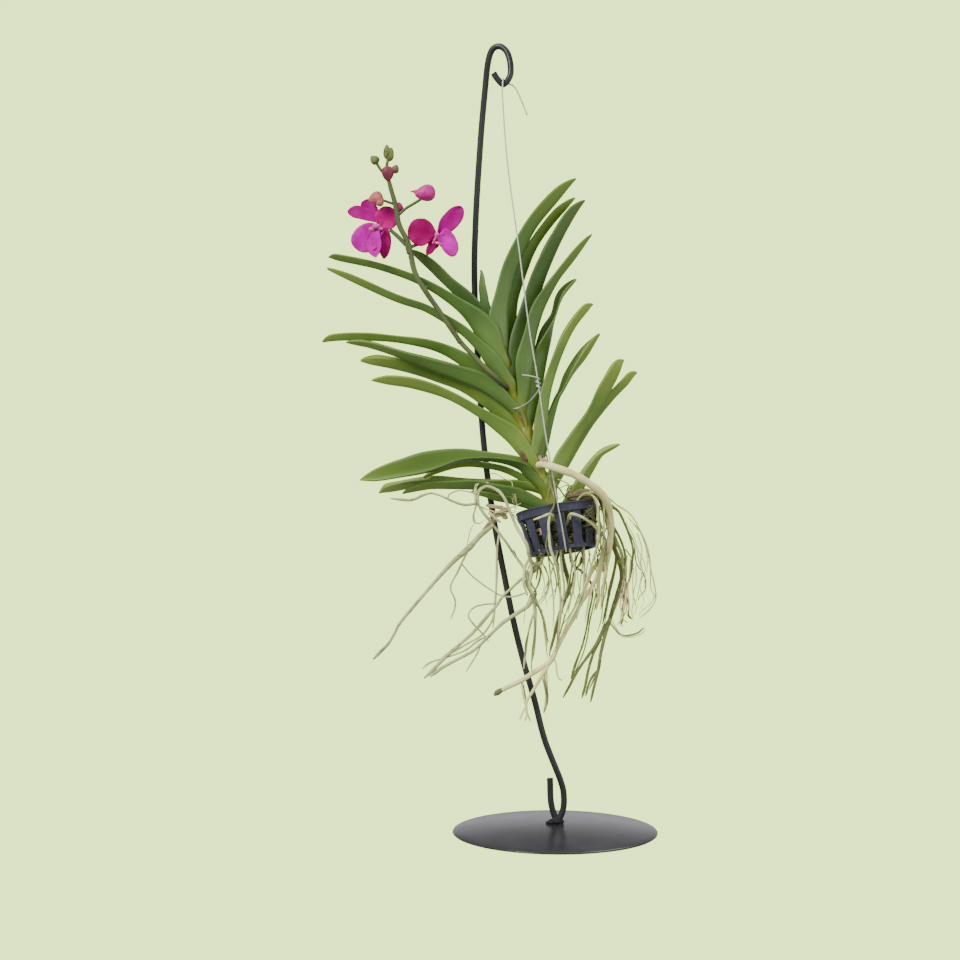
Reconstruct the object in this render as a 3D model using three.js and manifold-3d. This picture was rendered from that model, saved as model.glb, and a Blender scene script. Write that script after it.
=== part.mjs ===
// A young vanda orchid in a small net basket, hung by a wire from a bent rod on a round base plate.
// Millimetres, +Z up. The origin is the middle of the plate's flat underside.
// Front is -Y, and +X is to the right.

import * as THREE from 'three';
import { mergeVertices } from 'three/addons/utils/BufferGeometryUtils.js';
import Module from 'manifold-3d';

const wasm = await Module();
wasm.setup();

// Driving dimensions
const GAP = 0.3;
const PLATE_RADIUS = 65;
const PLATE_EDGE = 1.2;
const PLATE_CROWN = 5.6;
const ROD_RADIUS = 2;
const WIRE_RADIUS = 0.55;
const TIE_RADIUS = 0.45;
const BASKET_TOP = [1.2, 2, 206];
const BASKET_HEIGHT = 28.5;
const BASKET_TOP_RADIUS = 26;
const BASKET_FOOT_RADIUS = 21;
const BASKET_LEAN = THREE.MathUtils.degToRad(9);
const BASKET_FRONT_UP = THREE.MathUtils.degToRad(8);
const RIM_HEIGHT = 5.8;
const RIM_WALL = 1.6;
const RIM_LIP = [0.5, 1.2];
const FOOT_RING = [2.6, 2.2];
const RIB_COUNT = 14;
const RIB_WIDTH = 4.4;
const RIB_THICK = 1.2;
const LEAF_THICK = 0.9;
const PETAL_THICK = 0.9;

function finish(color, roughness, metalness = 0) {
  return new THREE.MeshStandardMaterial({ color, roughness, metalness });
}

const BLACK_PAINT = finish(0x33363a, 0.4, 0.3);
const GREY_PLATE = finish(0x55565b, 0.35, 0.4);
const BASKET_PLASTIC = finish(0x3c3e52, 0.55);
const GALVANISED = finish(0xb9bdb0, 0.4, 0.8);
const STEM_GREEN = finish(0x7f9430, 0.55);
const LEAF_GREEN = finish(0x5b7a2e, 0.5);
const LEAF_DARK = finish(0x3f5a1c, 0.5);
const LEAF_LIGHT = finish(0x879a3c, 0.5);
const ROOT_CREAM = finish(0xd2cdb4, 0.85);
const ROOT_GREY = finish(0xb9ba9a, 0.85);
const ROOT_OLIVE = finish(0x6a6f48, 0.85);
const PETAL_CRIMSON = finish(0xa5226a, 0.45);
const PETAL_PALE = finish(0xc75fb5, 0.45);
const BUD_GREEN = finish(0x8a8f55, 0.55);
const BUD_PINK = finish(0xd0569c, 0.5);
const BUD_PEACH = finish(0xc98f7f, 0.5);

const orchid = new THREE.Group();

function add(name, solid, material) {
  const geometry = solid.isBufferGeometry ? solid : toGeometry(solid);
  const mesh = new THREE.Mesh(geometry, material);
  mesh.name = name;
  orchid.add(mesh);
}

// Closed solids for cutting and joining

function toSolid(geometry) {
  const plain = geometry.clone();
  plain.deleteAttribute('normal');
  plain.deleteAttribute('uv');
  const welded = mergeVertices(plain, 1e-4);
  const vertProperties = new Float32Array(welded.attributes.position.array);
  const triVerts = new Uint32Array(welded.index.array);
  return new wasm.Manifold(new wasm.Mesh({ numProp: 3, vertProperties, triVerts }));
}

function toGeometry(solid) {
  const mesh = solid.getMesh();
  const geometry = new THREE.BufferGeometry();
  geometry.setAttribute('position', new THREE.BufferAttribute(mesh.vertProperties, 3));
  geometry.setIndex(new THREE.BufferAttribute(mesh.triVerts, 1));
  return geometry;
}

const join = (geometries) => geometries.map(toSolid).reduce((whole, piece) => whole.add(piece));

// What is left of a solid outside its neighbours, without the scraps
function clearOf(solid, neighbours) {
  const cut = neighbours.reduce((whole, neighbour) => whole.subtract(neighbour), solid);
  return cut.decompose().sort((a, b) => b.volume() - a.volume())[0];
}

// A smooth curve through the points
function curveThrough(points) {
  return new THREE.CatmullRomCurve3(points.map((p) => new THREE.Vector3(...p)), false, 'catmullrom', 0.5);
}

// A round bar along a smooth path. Its radius runs evenly through the listed radii.
// Grow adds a clearance all round.
function bar(points, radii, { sides = 5, perSpan = 2, grow = 0 } = {}) {
  const path = curveThrough(points);
  const steps = (points.length - 1) * perSpan;
  const frames = [];
  const normal = new THREE.Vector3(0.3, 1, 0.2);
  for (let step = 0; step <= steps; step += 1) {
    const tangent = path.getTangent(step / steps);
    normal.projectOnPlane(tangent).normalize();
    frames.push({ tangent, normal: normal.clone(), binormal: tangent.clone().cross(normal) });
  }
  const geometry = new THREE.CylinderGeometry(1, 1, 1, sides, steps, false);
  const position = geometry.attributes.position;
  for (let i = 0; i < position.count; i += 1) {
    const along = 0.5 - position.getY(i);
    const frame = frames[Math.round(along * steps)];
    const radius = mix(radii, along) + grow;
    const point = path.getPoint(along);
    point.addScaledVector(frame.normal, position.getX(i) * radius);
    point.addScaledVector(frame.binormal, position.getZ(i) * radius);
    if (along === 0) point.addScaledVector(frame.tangent, -grow);
    if (along === 1) point.addScaledVector(frame.tangent, grow);
    position.setXYZ(i, ...point);
  }
  return outward(geometry);
}

// A root or stalk with a straight length for each listed point, and four sides where it is fine
function slimBar([route, radii], grow = 0) {
  const fine = Math.max(...[radii].flat()) < 1.05;
  return bar(route, radii, { perSpan: 1, sides: fine ? 4 : 5, grow });
}

// A value part of the way through an evenly spaced list
function mix(list, along) {
  if (!Array.isArray(list)) return list;
  const place = Math.min(along, 0.9999) * (list.length - 1);
  const index = Math.floor(place);
  return THREE.MathUtils.lerp(list[index], list[index + 1], place - index);
}

// Turns a closed solid's faces outwards
function outward(geometry) {
  const { array } = geometry.index;
  const corner = [0, 1, 2].map(() => new THREE.Vector3());
  let volume = 0;
  for (let i = 0; i < array.length; i += 3) {
    corner.forEach((c, k) => c.fromBufferAttribute(geometry.attributes.position, array[i + k]));
    volume += corner[0].dot(corner[1].clone().cross(corner[2]));
  }
  if (volume < 0) {
    for (let i = 0; i < array.length; i += 3) {
      [array[i], array[i + 1]] = [array[i + 1], array[i]];
    }
  }
  geometry.computeVertexNormals();
  return geometry;
}

function egg(centre, radii, turn = [0, 0, 0], detail = [8, 6]) {
  const geometry = new THREE.SphereGeometry(1, ...detail);
  geometry.scale(...radii);
  geometry.applyMatrix4(new THREE.Matrix4().makeRotationFromEuler(new THREE.Euler(...turn)));
  geometry.translate(...centre);
  return geometry;
}

// A folded blade on a spine of [x, y, z, half width] rows. Two flat wings rise from its keel by the fold
// angles, in degrees from base to tip. Face says which way its upper side looks, and roll turns it about
// its spine. Drop lowers the keel by that share of the blade's height.
function blade(rows, { face, fold, roll = [0, 0], thick, steps, drop = 0, grow = 0 }) {
  const path = curveThrough(rows.map((row) => row.slice(0, 3)));
  const widths = rows.map((r) => r[3]);
  const geometry = new THREE.BoxGeometry(1, 2, 1, steps, 2, 1);
  splitAlike(geometry);
  const position = geometry.attributes.position;
  for (let i = 0; i < position.count; i += 1) {
    const along = position.getX(i) + 0.5;
    const side = Math.round(position.getY(i));
    const layer = Math.sign(position.getZ(i));
    const tangent = path.getTangent(along);
    const up = new THREE.Vector3(...face).projectOnPlane(tangent).normalize();
    up.applyAxisAngle(tangent, THREE.MathUtils.degToRad(mix(roll, along)));
    const across = new THREE.Vector3().crossVectors(tangent, up);
    const angle = THREE.MathUtils.degToRad(mix(fold, along));
    const reach = mix(widths, along) + grow;
    const half = (thick / 2) * (side ? 0.75 : 1) + grow;
    const point = path.getPoint(along);
    point.addScaledVector(up, -drop * mix(widths, along) * Math.sin(angle));
    if (side) {
      point.addScaledVector(across, side * (reach * Math.cos(angle) - layer * half * Math.sin(angle)));
      point.addScaledVector(up, reach * Math.sin(angle) + layer * half * Math.cos(angle));
    } else {
      point.addScaledVector(up, layer * half * (layer > 0 ? Math.min(1 / Math.cos(angle), 2.4) : 1));
    }
    if (along === 0) point.addScaledVector(tangent, -grow);
    if (along === 1) point.addScaledVector(tangent, grow);
    position.setXYZ(i, ...point);
  }
  return outward(geometry);
}

// Both broad faces of a box are split along the same diagonals, so a waved blade keeps its thickness
function splitAlike(geometry) {
  const { start, count } = geometry.groups[5];
  const { array } = geometry.index;
  for (let i = start; i < start + count; i += 6) {
    const [a, b, d, , c] = array.slice(i, i + 6);
    array.set([a, b, c, a, c, d], i);
  }
}

// The base plate and the hook stand

function basePlate() {
  const rings = 4;
  const profile = [new THREE.Vector2(0, 0), new THREE.Vector2(PLATE_RADIUS, 0)];
  for (let i = 0; i <= rings; i += 1) {
    const r = PLATE_RADIUS * (1 - i / rings);
    const rise = 1 - (r / PLATE_RADIUS) ** 2;
    profile.push(new THREE.Vector2(r, PLATE_EDGE + (PLATE_CROWN - PLATE_EDGE) * rise));
  }
  const geometry = new THREE.LatheGeometry(profile, 36);
  geometry.rotateX(Math.PI / 2);
  return toSolid(geometry);
}

const ROD_ROUTE = [
  [-3.2, 0, 34.3], [-2.4, 0, 18.1], [1.3, 0, 7.9], [4.9, 0, 13.5], [5.7, 0, 22], [3.7, 0, 32.3],
  [-6.5, 0, 58.6], [-13, 1.5, 84], [-20.3, 4, 109.4], [-26.5, 6, 134.8], [-31.6, 8, 160.2],
  [-37.7, 9.5, 192], [-43.3, 10.5, 230], [-47.3, 11, 273.2], [-51, 11, 344.4], [-50.4, 9.5, 388.8],
  [-47.3, 6.5, 439.6], [-44.4, 2.5, 472], [-42.6, -0.5, 488], [-40, -2.5, 496], [-35.5, -4.5, 497.9],
  [-31, -6.2, 494.5], [-28.6, -7.6, 487], [-28.6, -8.6, 478.5], [-32.7, -9.5, 472.8],
  [-36.6, -9.6, 476], [-39, -9.5, 479.6],
];

const rod = bar(ROD_ROUTE, ROD_RADIUS, { sides: 8 });
const weldBead = egg([1.2, 0, 7.6], [6.4, 4, 1.7]);
add('base_plate', basePlate(), GREY_PLATE);
add('stand_rod', join([rod, weldBead]), BLACK_PAINT);

// The net basket, made standing up round its own axis with the rim's top at zero, then leaned

function basketWall(depth) {
  return THREE.MathUtils.lerp(BASKET_TOP_RADIUS, BASKET_FOOT_RADIUS, depth / BASKET_HEIGHT);
}

function ring(corners) {
  const profile = [...corners, corners[0]].map((c) => new THREE.Vector2(...c));
  return new THREE.LatheGeometry(profile, 2 * RIB_COUNT).rotateX(Math.PI / 2);
}

function netBasket() {
  const rim = BASKET_TOP_RADIUS;
  const rimInner = rim - RIM_WALL;
  const [lipOut, lipHeight] = RIM_LIP;
  const foot = BASKET_FOOT_RADIUS;
  const footInner = foot - FOOT_RING[0];
  const footTop = FOOT_RING[1] - BASKET_HEIGHT;
  const pieces = [
    ring([
      [rimInner, -RIM_HEIGHT], [rim, -RIM_HEIGHT], [rim, -lipHeight], [rim + lipOut, -lipHeight],
      [rim + lipOut, 0], [rimInner, 0],
    ]),
    ring([[footInner, -BASKET_HEIGHT], [foot, -BASKET_HEIGHT], [foot, footTop], [footInner, footTop]]),
  ];
  const ribTop = 1 - RIM_HEIGHT;
  const ribFoot = 0.6 - BASKET_HEIGHT;
  const slope = Math.atan2(basketWall(-ribTop) - basketWall(-ribFoot), ribTop - ribFoot);
  for (let i = 0; i < RIB_COUNT; i += 1) {
    const rib = new THREE.BoxGeometry(RIB_WIDTH, RIB_THICK, (ribTop - ribFoot) / Math.cos(slope));
    rib.rotateX(slope);
    rib.translate(0, 0.8 - (basketWall(-ribTop) + basketWall(-ribFoot)) / 2, (ribTop + ribFoot) / 2);
    rib.rotateZ((i * 2 * Math.PI) / RIB_COUNT);
    pieces.push(rib);
  }
  for (const turn of [Math.PI / 4, (3 * Math.PI) / 4]) {
    const spoke = new THREE.BoxGeometry(2 * BASKET_FOOT_RADIUS - 3, 2.4, 1.6);
    spoke.translate(0, 0, -BASKET_HEIGHT + 0.9);
    spoke.rotateZ(turn);
    pieces.push(spoke);
  }
  for (const piece of pieces) {
    piece.rotateX(-BASKET_FRONT_UP);
    piece.rotateY(-BASKET_LEAN);
    piece.translate(...BASKET_TOP);
  }
  return join(pieces);
}

add('net_basket', netBasket(), BASKET_PLASTIC);

// The hanger wire hooks over the rod's hook, passes the front rim and runs down a rib to the basket's foot

const WIRE_ROUTE = [
  [6, -18.8, 179.2], [5.9, -22.6, 179.1], [5.5, -24.3, 181.4], [4.1, -24.4, 190], [2.4, -24.8, 199.5],
  [0.3, -25.2, 210], [-3.2, -24.8, 230], [-7.4, -23.7, 255], [-12, -21.9, 288], [-17.1, -20.2, 319],
  [-23.5, -17.5, 369.8], [-30.2, -14.2, 420.5], [-33.4, -12.9, 462], [-33.4, -12.8, 471.5],
  [-33.1, -12, 474.8], [-32.9, -9.5, 476.1], [-32.7, -7, 475], [-31.6, -5.7, 473.2],
  [-29.2, -5.4, 473.8], [-25.4, -5.8, 471.3], [-21.6, -6, 463.6], [-17.8, -6.4, 453.9],
];

add('hanger_wire', bar(WIRE_ROUTE, WIRE_RADIUS), GALVANISED);

function tieRoute() {
  const tail = [[-21.6, -20.6, 289.4], [-17, -21.8, 288.8], [-13.6, -23, 288]];
  const turns = [];
  for (let i = 0; i <= 15; i += 1) {
    const angle = -Math.PI / 2 + (i * Math.PI) / 3;
    const fall = i / 15;
    const centre = [THREE.MathUtils.lerp(-11.9, -10.9, fall), THREE.MathUtils.lerp(-21.9, -22.3, fall)];
    const reach = WIRE_RADIUS + TIE_RADIUS + 0.45;
    turns.push([centre[0] + reach * Math.cos(angle), centre[1] + reach * Math.sin(angle), 287 - 7 * fall]);
  }
  const loop = [
    [-13.2, -19, 276.6], [-17, -14.5, 272.6], [-22, -9.8, 269.8], [-27, -7.4, 268.6], [-31, -5.6, 268.9],
    [-33.6, -4.4, 269.8],
  ];
  return [...tail, ...turns, ...loop];
}

add('stem_tie', bar(tieRoute(), TIE_RADIUS, { sides: 5, perSpan: 1 }), GALVANISED);

// The stem in its leaf sheaths, from the heart of the basket to the crown of the fan

const STEM_ROUTE = [
  [1.5, -0.5, 190], [0, -0.5, 200], [-3.2, 0, 211], [-7.5, 0, 223], [-12.4, 0, 235], [-17.1, 0, 249],
  [-21.4, 0, 262], [-25.8, 0, 276], [-30, 0, 289], [-33.4, 0, 301], [-36, 0, 311],
];
const STEM_RADII = [3.6, 4.6, 4.2, 4.8, 4.3, 4.8, 4.2, 4.5, 3.9, 3.5, 2.2];

const stem = toSolid(bar(STEM_ROUTE, STEM_RADII, { sides: 8 }));
const stemRoom = toSolid(bar(STEM_ROUTE, STEM_RADII, { sides: 8, grow: GAP }));
add('stem', stem, STEM_GREEN);

// The leaves, each a channelled blade. Rows run from base to tip: x, y, z and the folded blade's height

const FACE_LEFT = [0.3, 0, 1];
const FACE_RIGHT = [-1, 0, 0.3];
const LEAF_FOLD = [72, 66, 60, 54, 48];

const LEAVES = [
  ['leaf_left_01', LEAF_DARK, FACE_LEFT, [0, 0],
    [[-6, -1, 206, 5], [-22, -2, 210, 5], [-33, -3, 212, 5], [-44, -4, 214.6, 4], [-53, -5, 217.2, 2]]],
  ['leaf_left_02', LEAF_DARK, FACE_LEFT, [0, -8],
    [[-6, -1, 207.6, 7], [-24, -3, 214.5, 7], [-42, -4, 219, 6.5], [-60, -4, 221, 6],
      [-80, -4, 220.3, 4.4], [-97, -4, 216.2, 2.4]]],
  ['leaf_left_03', LEAF_LIGHT, FACE_LEFT, [0, -20],
    [[-7, 2, 217, 4.5], [-19, 3.5, 220.4, 4.5], [-42, 4, 221.5, 5], [-62, 4, 222.5, 5.5],
      [-83, 4, 222.4, 6], [-103, 4, 219.2, 5.4], [-112.5, 4, 216.5, 2.6]]],
  ['leaf_left_04', LEAF_DARK, FACE_LEFT, [0, 0],
    [[-9, 1, 219, 3.6], [-16, 2, 222.6, 4], [-28, 3, 229, 4], [-42, 3, 233, 4], [-60, 3, 233.8, 3.6],
      [-84, 3, 226, 2]]],
  ['leaf_left_05', LEAF_GREEN, FACE_LEFT, [0, -20, -34, -30],
    [[-8, -1, 220, 5], [-15, -2, 228, 6], [-23, -3, 234, 6], [-40, -4, 237.6, 5.6], [-60, -6, 238, 8],
      [-80, -8, 234, 12], [-98, -9, 230, 10.5], [-112, -10, 227.4, 7], [-123.5, -10, 225, 3]]],
  ['leaf_left_06', LEAF_LIGHT, FACE_LEFT, [0, -6],
    [[-13, -1, 236, 8], [-24, -2, 250, 8.6], [-38, -3, 260.5, 7.5], [-50, -4, 268, 5.8],
      [-68, -5, 278, 6], [-88, -6, 285, 7], [-104, -6, 287, 6], [-116, -6, 288, 2.6]]],
  ['leaf_left_07', LEAF_LIGHT, FACE_LEFT, [0, -10],
    [[-20, 2, 256, 8], [-35, 3, 270, 9], [-55, 3, 283, 9], [-75, 3, 291, 9], [-95, 3, 297, 8.5],
      [-110, 3, 299.4, 7], [-123.5, 3, 301, 3]]],
  ['leaf_left_08', LEAF_GREEN, FACE_LEFT, [0, -12],
    [[-26, -2, 271, 7], [-42, -4, 284, 8], [-60, -5, 291.5, 9], [-80, -6, 297.5, 8],
      [-100, -6, 303.8, 5.4], [-120, -6, 310, 4], [-132, -6, 311.5, 2.2]]],
  ['leaf_left_09', LEAF_DARK, FACE_LEFT, [0, 0],
    [[-27, 2, 275, 8], [-36, 3, 283, 8.5], [-50, 3, 295, 8.5], [-64, 3, 304, 8], [-80, 2, 310.5, 6],
      [-100, 1, 313.5, 3.6], [-120, 0, 315, 4.5], [-140, 0, 314.5, 4], [-148, 0, 312.5, 2.2]]],
  ['leaf_left_10', LEAF_GREEN, FACE_LEFT, [0, 0],
    [[-29, -2, 287, 8], [-38, -3, 298, 8], [-47.6, -3, 308.8, 6], [-60.3, -4, 320, 5.7],
      [-79.4, -4, 331.3, 4.7], [-98.4, -4, 338, 4.7], [-123.8, -4, 349.4, 3.8],
      [-143.8, -4, 358.6, 2]]],
  ['leaf_left_11', LEAF_GREEN, FACE_LEFT, [0, -8],
    [[-32.5, -1, 300, 9], [-40, -2, 313, 11.5], [-49, -2, 325.5, 11.5], [-63.5, -2, 337.4, 7.4],
      [-85.7, -3, 350, 5], [-111, -3, 359.3, 4], [-136.5, -3, 364.7, 3.8], [-143.5, -3, 365.6, 2.2]]],
  ['leaf_left_12', LEAF_DARK, FACE_LEFT, [0, 0],
    [[-35, 3, 309, 8], [-42, 3.6, 322, 9], [-54, 3.4, 338, 9], [-66.7, 4, 350, 7.6],
      [-79.4, 4, 361.5, 6], [-92, 4, 371, 2.4]]],
  ['leaf_left_13', LEAF_GREEN, FACE_LEFT, [0, 0],
    [[-36, 0, 311, 6], [-40.4, 0, 321, 7], [-43, 0, 330, 7], [-45.2, 0, 343, 6.4], [-46.4, 0, 356, 3]]],
  ['leaf_right_01', LEAF_LIGHT, FACE_RIGHT, [0, 20],
    [[2, -3, 202, 4], [10, -7, 212, 6], [16.5, -6.6, 223, 7], [22.5, -5, 233, 5.6], [30, -4, 241, 3.4],
      [40.6, -4, 247, 1.8]]],
  ['leaf_right_02', LEAF_LIGHT, FACE_RIGHT, [0, 0],
    [[-1, 5, 222, 5], [10, 6.5, 241, 5], [19, 7, 255, 5], [27, 7, 267, 6], [37, 7, 278.4, 5.6],
      [46, 7, 288, 5], [51.7, 7, 293.5, 3]]],
  ['leaf_right_03', LEAF_GREEN, FACE_RIGHT, [0, 0],
    [[-6, 0, 220, 6], [3, 1, 235, 7.5], [12, 1, 251, 6.4], [22.5, 1, 266, 6.5], [30, 1, 280, 8.5],
      [38, 1, 294, 7], [42, 1, 301, 4]]],
  ['leaf_right_04', LEAF_GREEN, FACE_RIGHT, [0, 0, 40, 0],
    [[-11, 4, 233, 5], [-7.4, 5, 247, 5], [-4, 5, 260, 5], [1, 5, 274, 3.4], [4, 5, 280, 2.6],
      [9.5, 5, 291, 4.5], [17.5, 5, 303, 5.5], [27.5, 5, 317.8, 3]]],
  ['leaf_right_05', LEAF_GREEN, FACE_RIGHT, [0, 0],
    [[-14, -1, 240, 6], [-10, -2, 256, 6.4], [-6, -2, 280, 6], [0.5, -2, 300.5, 5.5], [7, -2, 316, 5],
      [17, -2, 330.5, 4.5], [23.3, -2, 336, 2.6]]],
  ['leaf_right_06', LEAF_DARK, FACE_RIGHT, [0, 0, 50, 20],
    [[-19, 3, 262, 8], [-14, 3, 284, 9], [-10, 3, 301, 9.5], [-5.4, 3, 316, 8], [-0.5, 3, 328, 3],
      [4, 3, 341, 4], [12.8, 3, 352.3, 2.2]]],
  ['leaf_right_07', LEAF_GREEN, FACE_RIGHT, [0, 0],
    [[-21.6, -0.6, 277, 7], [-20, -3, 296, 9], [-17, -4, 313, 8.6], [-12, -4, 331, 8], [-3, -4, 347, 6],
      [8, -4, 362, 4.5], [22.5, -4, 379.8, 2.4]]],
  ['leaf_right_08', LEAF_GREEN, FACE_RIGHT, [0, 0],
    [[-29, 1, 290, 8], [-24, 1.5, 308, 9.5], [-18.6, 1.5, 329, 10], [-12, 1.5, 350, 9.6],
      [-4, 1.5, 369, 9], [7, 1.5, 389, 6.6], [18, 1.5, 402.5, 2.8]]],
  ['leaf_right_09', LEAF_DARK, FACE_RIGHT, [0, 0],
    [[-32, 5, 301, 7], [-30, 6, 322, 8], [-26, 6, 345, 8], [-17, 6, 368.5, 7], [-3, 6, 389.5, 6],
      [12, 6, 405, 3]]],
  ['leaf_right_10', LEAF_GREEN, FACE_RIGHT, [0, 0],
    [[-36, -1, 309, 9], [-36.4, -2, 323, 10], [-34.6, -2, 337, 10], [-29, -2, 359, 9.5],
      [-18, -2, 381.5, 8.5], [-3, -2, 401, 7], [12.5, -2, 415.5, 3]]],
];

// The listed height is what shows from the side, so each wing is that height over the sine of its fold
function leaf(rows, face, roll, grow) {
  const opened = rows.map(([x, y, z, height], i) => {
    const angle = THREE.MathUtils.degToRad(mix(LEAF_FOLD, i / (rows.length - 1)));
    return [x, y, z, height / Math.sin(angle)];
  });
  const shape = { face, roll, fold: LEAF_FOLD, thick: LEAF_THICK, steps: 8, drop: 0.5, grow };
  return toSolid(blade(opened, shape));
}

const placed = [stemRoom];
for (const [name, material, face, roll, rows] of LEAVES) {
  const whole = leaf(rows, face, roll, 0);
  add(name, clearOf(whole, placed), material);
  placed.push(leaf(rows, face, roll, GAP));
}

// The roots. Each list is one root: its route from the heart of the basket, its radii, and its branches

const THICK_ROOT = [
  [[[-10.6, -4, 232.2], [-11.2, -12, 234], [-10, -21, 233.8], [-5.4, -28.6, 232.2], [3, -30.2, 229.8],
    [11, -29.2, 226.6], [20, -26.5, 221.4], [28, -22, 215], [33, -16, 208], [35.6, -11, 199],
    [36.2, -7, 188], [36, -5, 176], [34, -4, 167], [29, -3.5, 157.5], [22, -3, 150.5], [16, -3, 143],
    [12, -3, 134], [6, -3, 124.5], [1.5, -3.5, 116], [-3, -4, 109], [-12, -5, 103], [-20.5, -6, 97.6],
    [-28, -6.5, 94], [-35, -7, 90.4], [-38.3, -7, 87.8]], [2.9, 2.4, 2.5, 2.4, 2.5, 2.3, 2, 1.8, 1.1]],
  [[[-4, -4.5, 107], [-9.5, -6, 98.6], [-14, -6, 90.6], [-18, -5.5, 84], [-18.4, -5.5, 79],
    [-17.6, -5.5, 75.6], [-15.5, -5.5, 71]], [1.6, 1.1, 0.8, 0.6]],
  [[[-18.3, -5.5, 81], [-20.6, -5.5, 76.6], [-22.6, -5.5, 71.8]], [0.6, 0.5]],
  [[[-17.7, -5.5, 76.4], [-19.3, -5.5, 71]], [0.6, 0.5]],
  [[[-20.6, -6, 98], [-21, -6, 91.6], [-19.4, -5.6, 84], [-18.6, -5.5, 80.6]], [0.8, 0.6]],
  [[[-6, -4.5, 104.6], [-6, -5, 96], [-5.6, -5, 86], [-7.2, -5, 77.5]], [1.4, 1.2, 0.8]],
  [[[-1.5, -3.5, 112], [0.4, -4.5, 107.4], [1.6, -4.5, 99], [4.5, -4.5, 97]], [0.7, 0.5]],
];

const LEFT_ROOTS = [
  [[[-9, -5, 189], [-8, -8.5, 178], [-9.5, -12, 171.6], [-14, -17, 171.4], [-17, -20, 176],
    [-18.2, -19.6, 182.5], [-21.4, -16.4, 188.5], [-24.6, -14, 194], [-28.5, -13, 203],
    [-32, -12.4, 211.6], [-35.5, -12, 216.2], [-39.5, -12, 218.6], [-44, -12, 219.6], [-48.4, -12, 216],
    [-48.8, -12, 209], [-45, -11, 202.4], [-40.4, -10, 196.6], [-35.4, -9, 190], [-30.6, -8, 183.6],
    [-26.4, -7, 177], [-22, -6, 171], [-18.6, -6, 165], [-17.2, -6, 158]],
    [1, 1.1, 1, 0.9, 0.9, 0.8, 1]],
  [[[-10.5, -1, 188], [-9.6, 0, 178], [-11.4, -2.6, 169.4], [-16, -5.4, 164], [-17.6, -6, 158],
    [-14.8, -6, 151.6], [-13, -6, 144], [-12.8, -5.4, 131], [-13.4, -4, 119], [-14.8, -1.5, 108]],
    [1.8, 1.8, 1.6, 1.2, 1, 0.9]],
  [[[-48.6, -12, 209], [-57, -12, 208], [-64, -12, 210], [-76, -12, 215], [-83, -12, 214.2],
    [-91, -11, 211], [-104, -10, 212]], [0.8, 0.7, 1]],
  [[[-68, -12, 211.6], [-66.6, -12.4, 214.8], [-60.6, -12.6, 217], [-54, -12.4, 216],
    [-48.4, -12, 214.6]], 0.5],
  [[[-47, -12, 219], [-50.6, -12.8, 214], [-50, -13.4, 207.4], [-52, -13, 201], [-51, -12.6, 196]],
    0.5],
  [[[-39, -9.6, 195.4], [-47.4, -9.5, 188.8], [-54.4, -9, 181], [-63.4, -9, 173.2], [-73, -9, 163],
    [-86, -9, 148], [-97.6, -9, 134], [-101.6, -9, 126.6], [-105.4, -9, 120.4], [-109.4, -9, 116.4],
    [-115, -9, 110.6]], [1.4, 1.9, 1.3, 1.1, 0.9, 0.9, 1.2]],
  [[[-54, -9.2, 181], [-58.6, -10, 172.4], [-62, -10, 165], [-65.4, -10, 159], [-66, -10, 154.6],
    [-63.2, -10, 147.6], [-64, -10, 141], [-66.4, -10, 136]], [0.7, 0.6, 0.5]],
  [[[-59.6, -9.8, 171.4], [-54, -9, 164.6], [-48, -8.4, 159.4], [-41, -7.4, 154.4], [-34, -6.4, 150.6],
    [-26, -6, 150], [-17, -6, 153]], 0.5],
  [[[-16.8, -6, 163.6], [-20.4, -6.4, 162], [-27, -6.6, 156], [-33, -6.6, 150.4], [-37, -6.6, 144.4],
    [-41, -6.6, 140], [-51, -6.4, 128.4], [-62, -6, 118.4], [-70, -6, 111.4], [-77, -6, 104],
    [-83, -6, 98.4]], [0.9, 0.9, 1, 1.3, 1.1]],
  [[[-36.4, -6.6, 145.6], [-44, -7.4, 145.2], [-51, -7.4, 143.4], [-55, -7.4, 138.4], [-52, -7, 133],
    [-46, -6.6, 126.6], [-42, -6.4, 121.6]], 0.55],
  [[[-12.6, -6, 152], [-17, -6.8, 144.4], [-25, -6.8, 139], [-32, -6.4, 134.4], [-37, -6.4, 130],
    [-43, -6.4, 124], [-51, -6.2, 116.4], [-58.6, -6, 112], [-71, -6, 105.4], [-79, -6, 99.4]],
    [1.4, 1.3, 1.2, 1, 0.9, 1.3]],
  [[[-38.4, -6.6, 142], [-40, -6.6, 134.6], [-46, -6.6, 126], [-55, -6.4, 120.6], [-67, -6, 113.4]],
    0.6],
  [[[-41, -6.4, 125.8], [-49, -6.2, 122], [-57, -6.2, 116], [-70, -6, 111.2], [-79, -6, 108.4],
    [-84, -6, 104.4]], 0.6],
  [[[-47, -6.2, 119.4], [-50, -6.4, 113], [-56.4, -6.4, 102.4]], 0.5],
  [[[-35.6, -9, 189], [-37, -8, 178], [-37, -7, 164], [-38, -6.6, 147], [-39.4, -6.6, 130]],
    [0.7, 0.8, 0.7]],
  [[[-14.4, -6, 153], [-10.6, -6, 144], [-7.2, -6, 135], [-5.6, -6.6, 125], [-5.6, -7, 115.6]],
    [0.8, 0.6]],
  [[[-13.2, -6, 140], [-16, -6, 132.4], [-18, -5.4, 121], [-19, -4, 112.6], [-20, -2.6, 103.6]],
    [0.6, 0.7]],
];

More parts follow.
